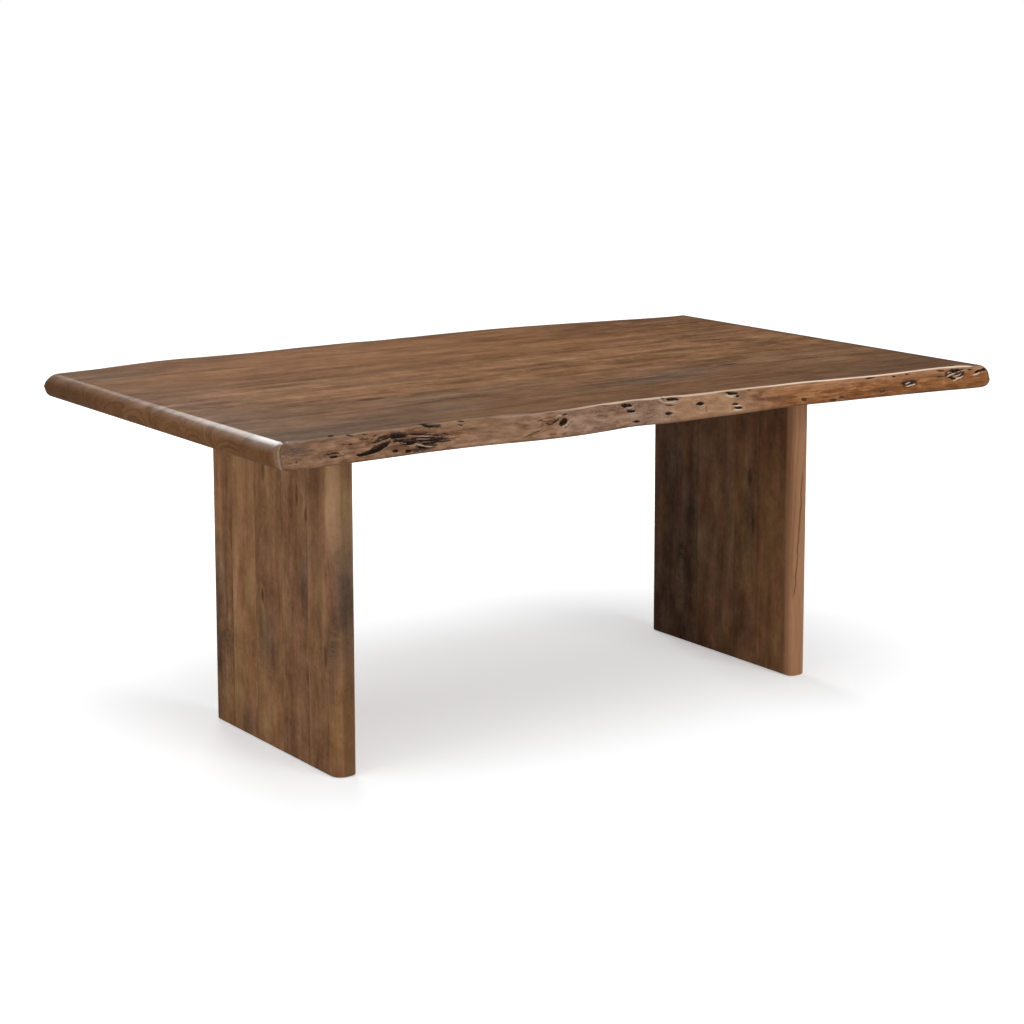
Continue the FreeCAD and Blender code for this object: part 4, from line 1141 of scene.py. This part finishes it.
def make_legs():
    """The five staves of each leg, front to back."""
    for leg, staves in LEG_TONES.items():
        for number, tone in enumerate(staves, start=1):
            node = "%s_stave_%d" % (leg, number)
            low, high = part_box(node)
            place = {1: "front", 5: "back"}.get(number, "middle")
            stave = leg_stave(node.replace("stave", "upright"), node, leg == "left_leg", place)
            middle = (low.y + high.y) / 2
            heart_left, heart_right = (middle + 0.035, low.x - 0.045), (middle - 0.03, high.x + 0.05)
            heart = heart_left if number % 2 else heart_right
            seed = 5.7 * number + (0 if leg == "left_leg" else 61.3)
            crack = LEG_CRACK if node == "right_leg_stave_1" else None
            spots, patches = LEG_SPOTS.get(node, ()), LEG_PATCHES.get(node, ())
            placed(stave, node, leg_wood(
                node + "_wood", seed, heart, tone, (low.y, high.y), spots, patches, crack,
            ))


def finish_fittings():
    """Gives the solids that stay as they are their finishes."""
    finishes = {
        beech(): ("top_biscuits", "left_leg_biscuits", "right_leg_biscuits"),
        black_steel(): (
            "left_leg_plate", "right_leg_plate", "channel_left", "channel_middle", "channel_right",
        ),
        plated_steel(): (
            "plate_bolts", "bolt_washers", "leg_screws", "channel_screws", "glide_screws",
        ),
        turned_brass(): ("threaded_inserts",),
        brown_nylon(): ("foot_glides",),
    }
    for material, nodes in finishes.items():
        for node in nodes:
            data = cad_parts[node].data
            data.materials.clear()
            data.materials.append(material)


def camera_axes():
    """The camera's right, up and back."""
    back = Vector((
        math.sin(AZIMUTH) * math.cos(ELEVATION), -math.cos(AZIMUTH) * math.cos(ELEVATION),
        math.sin(ELEVATION),
    ))
    right = Vector((0, 0, 1)).cross(back).normalized()
    up = back.cross(right)
    turned_right = right * math.cos(ROLL) + up * math.sin(ROLL)
    turned_up = up * math.cos(ROLL) - right * math.sin(ROLL)
    return turned_right, turned_up, back


def make_camera():
    data = bpy.data.cameras.new("camera")
    data.sensor_width = 36
    data.lens = FOCAL * data.sensor_width / PICTURE
    data.shift_x = (PICTURE / 2 - CENTRE[0]) / PICTURE
    data.shift_y = (CENTRE[1] - PICTURE / 2) / PICTURE
    data.clip_end = 200
    camera = added("camera", data)
    camera.matrix_world = Matrix.Translation(EYE) @ Matrix(camera_axes()).transposed().to_4x4()
    bpy.context.scene.camera = camera


def make_floor():
    """A wide white floor. What the camera sees of it is lifted a little, and keeps its shadow."""
    mesh = bpy.data.meshes.new("studio_floor")
    reach = 40
    corners = [(-reach, -reach, 0), (reach, -reach, 0), (reach, reach, 0), (-reach, reach, 0)]
    mesh.from_pydata(corners, [], [(0, 1, 2, 3)])
    added("studio_floor", mesh)
    finish = Finish("white_floor")
    paint = finish.node("ShaderNodeBsdfDiffuse", {}, {"Color": (0.787, 0.800, 0.810)})
    x, y, _ = finish.place()
    # The lift is weaker near the table, so the floor round it comes out darker: painted shade
    clear_of_painted_shade = finish.ease((x * x + y * y) ** 0.5, 0.9, 2.6)
    lift = finish.node("ShaderNodeEmission", {}, {
        "Color": (1, 1, 1), "Strength": finish.seen() * (0.345 + clear_of_painted_shade * 0.255),
    })
    both = finish.node("ShaderNodeAddShader", {}, {0: paint, 1: lift})
    finish.node("ShaderNodeOutputMaterial", {}, {"Surface": both})
    mesh.materials.append(finish.block)


def make_world():
    """Even white light from all round, seen as plain white."""
    studio = Finish("studio", world=True)
    strength = 0.30 + studio.seen() * 0.70
    light = studio.node("ShaderNodeBackground", {}, {"Color": (1, 1, 1), "Strength": strength})
    studio.node("ShaderNodeOutputWorld", {}, {"Surface": light})
    bpy.context.scene.world = studio.block


def lamp(name, kind, energy, direction, place=(0, 0, 0)):
    """A lamp that shines the given way. Its data comes back, to be given a size."""
    data = bpy.data.lights.new(name, kind)
    data.energy = energy
    holder = added(name, data)
    holder.location = place
    holder.rotation_mode = "QUATERNION"
    holder.rotation_quaternion = Vector(direction).to_track_quat("-Z", "Y")
    return data


def softbox(name, place, aim, width, height, watts):
    data = lamp(name, "AREA", watts, Vector(aim) - Vector(place), place)
    data.shape = "RECTANGLE"
    data.size, data.size_y = width, height


def make_lights():
    """A broad overhead light, a strip behind, and large boxes in front and at the left."""
    lamp("overhead_light", "SUN", 1.50, (0.14, 0.27, -1)).angle = math.radians(60)
    softbox("back_strip", (1.05, 3.8, 2.45), (-0.9, -0.5, 0.75), 1.6, 0.9, 60)
    softbox("front_box", (1.2, -5.2, 1.9), (0.3, 0, 0.4), 2.4, 1.8, 120)
    softbox("left_box", (-5.0, 0.3, 1.6), (-0.7, 0, 0.4), 4.0, 2.4, 80)


scene = bpy.context.scene
scene.view_settings.view_transform = "Standard"
make_camera()
make_top()
make_legs()
finish_fittings()
make_floor()
make_world()
make_lights()
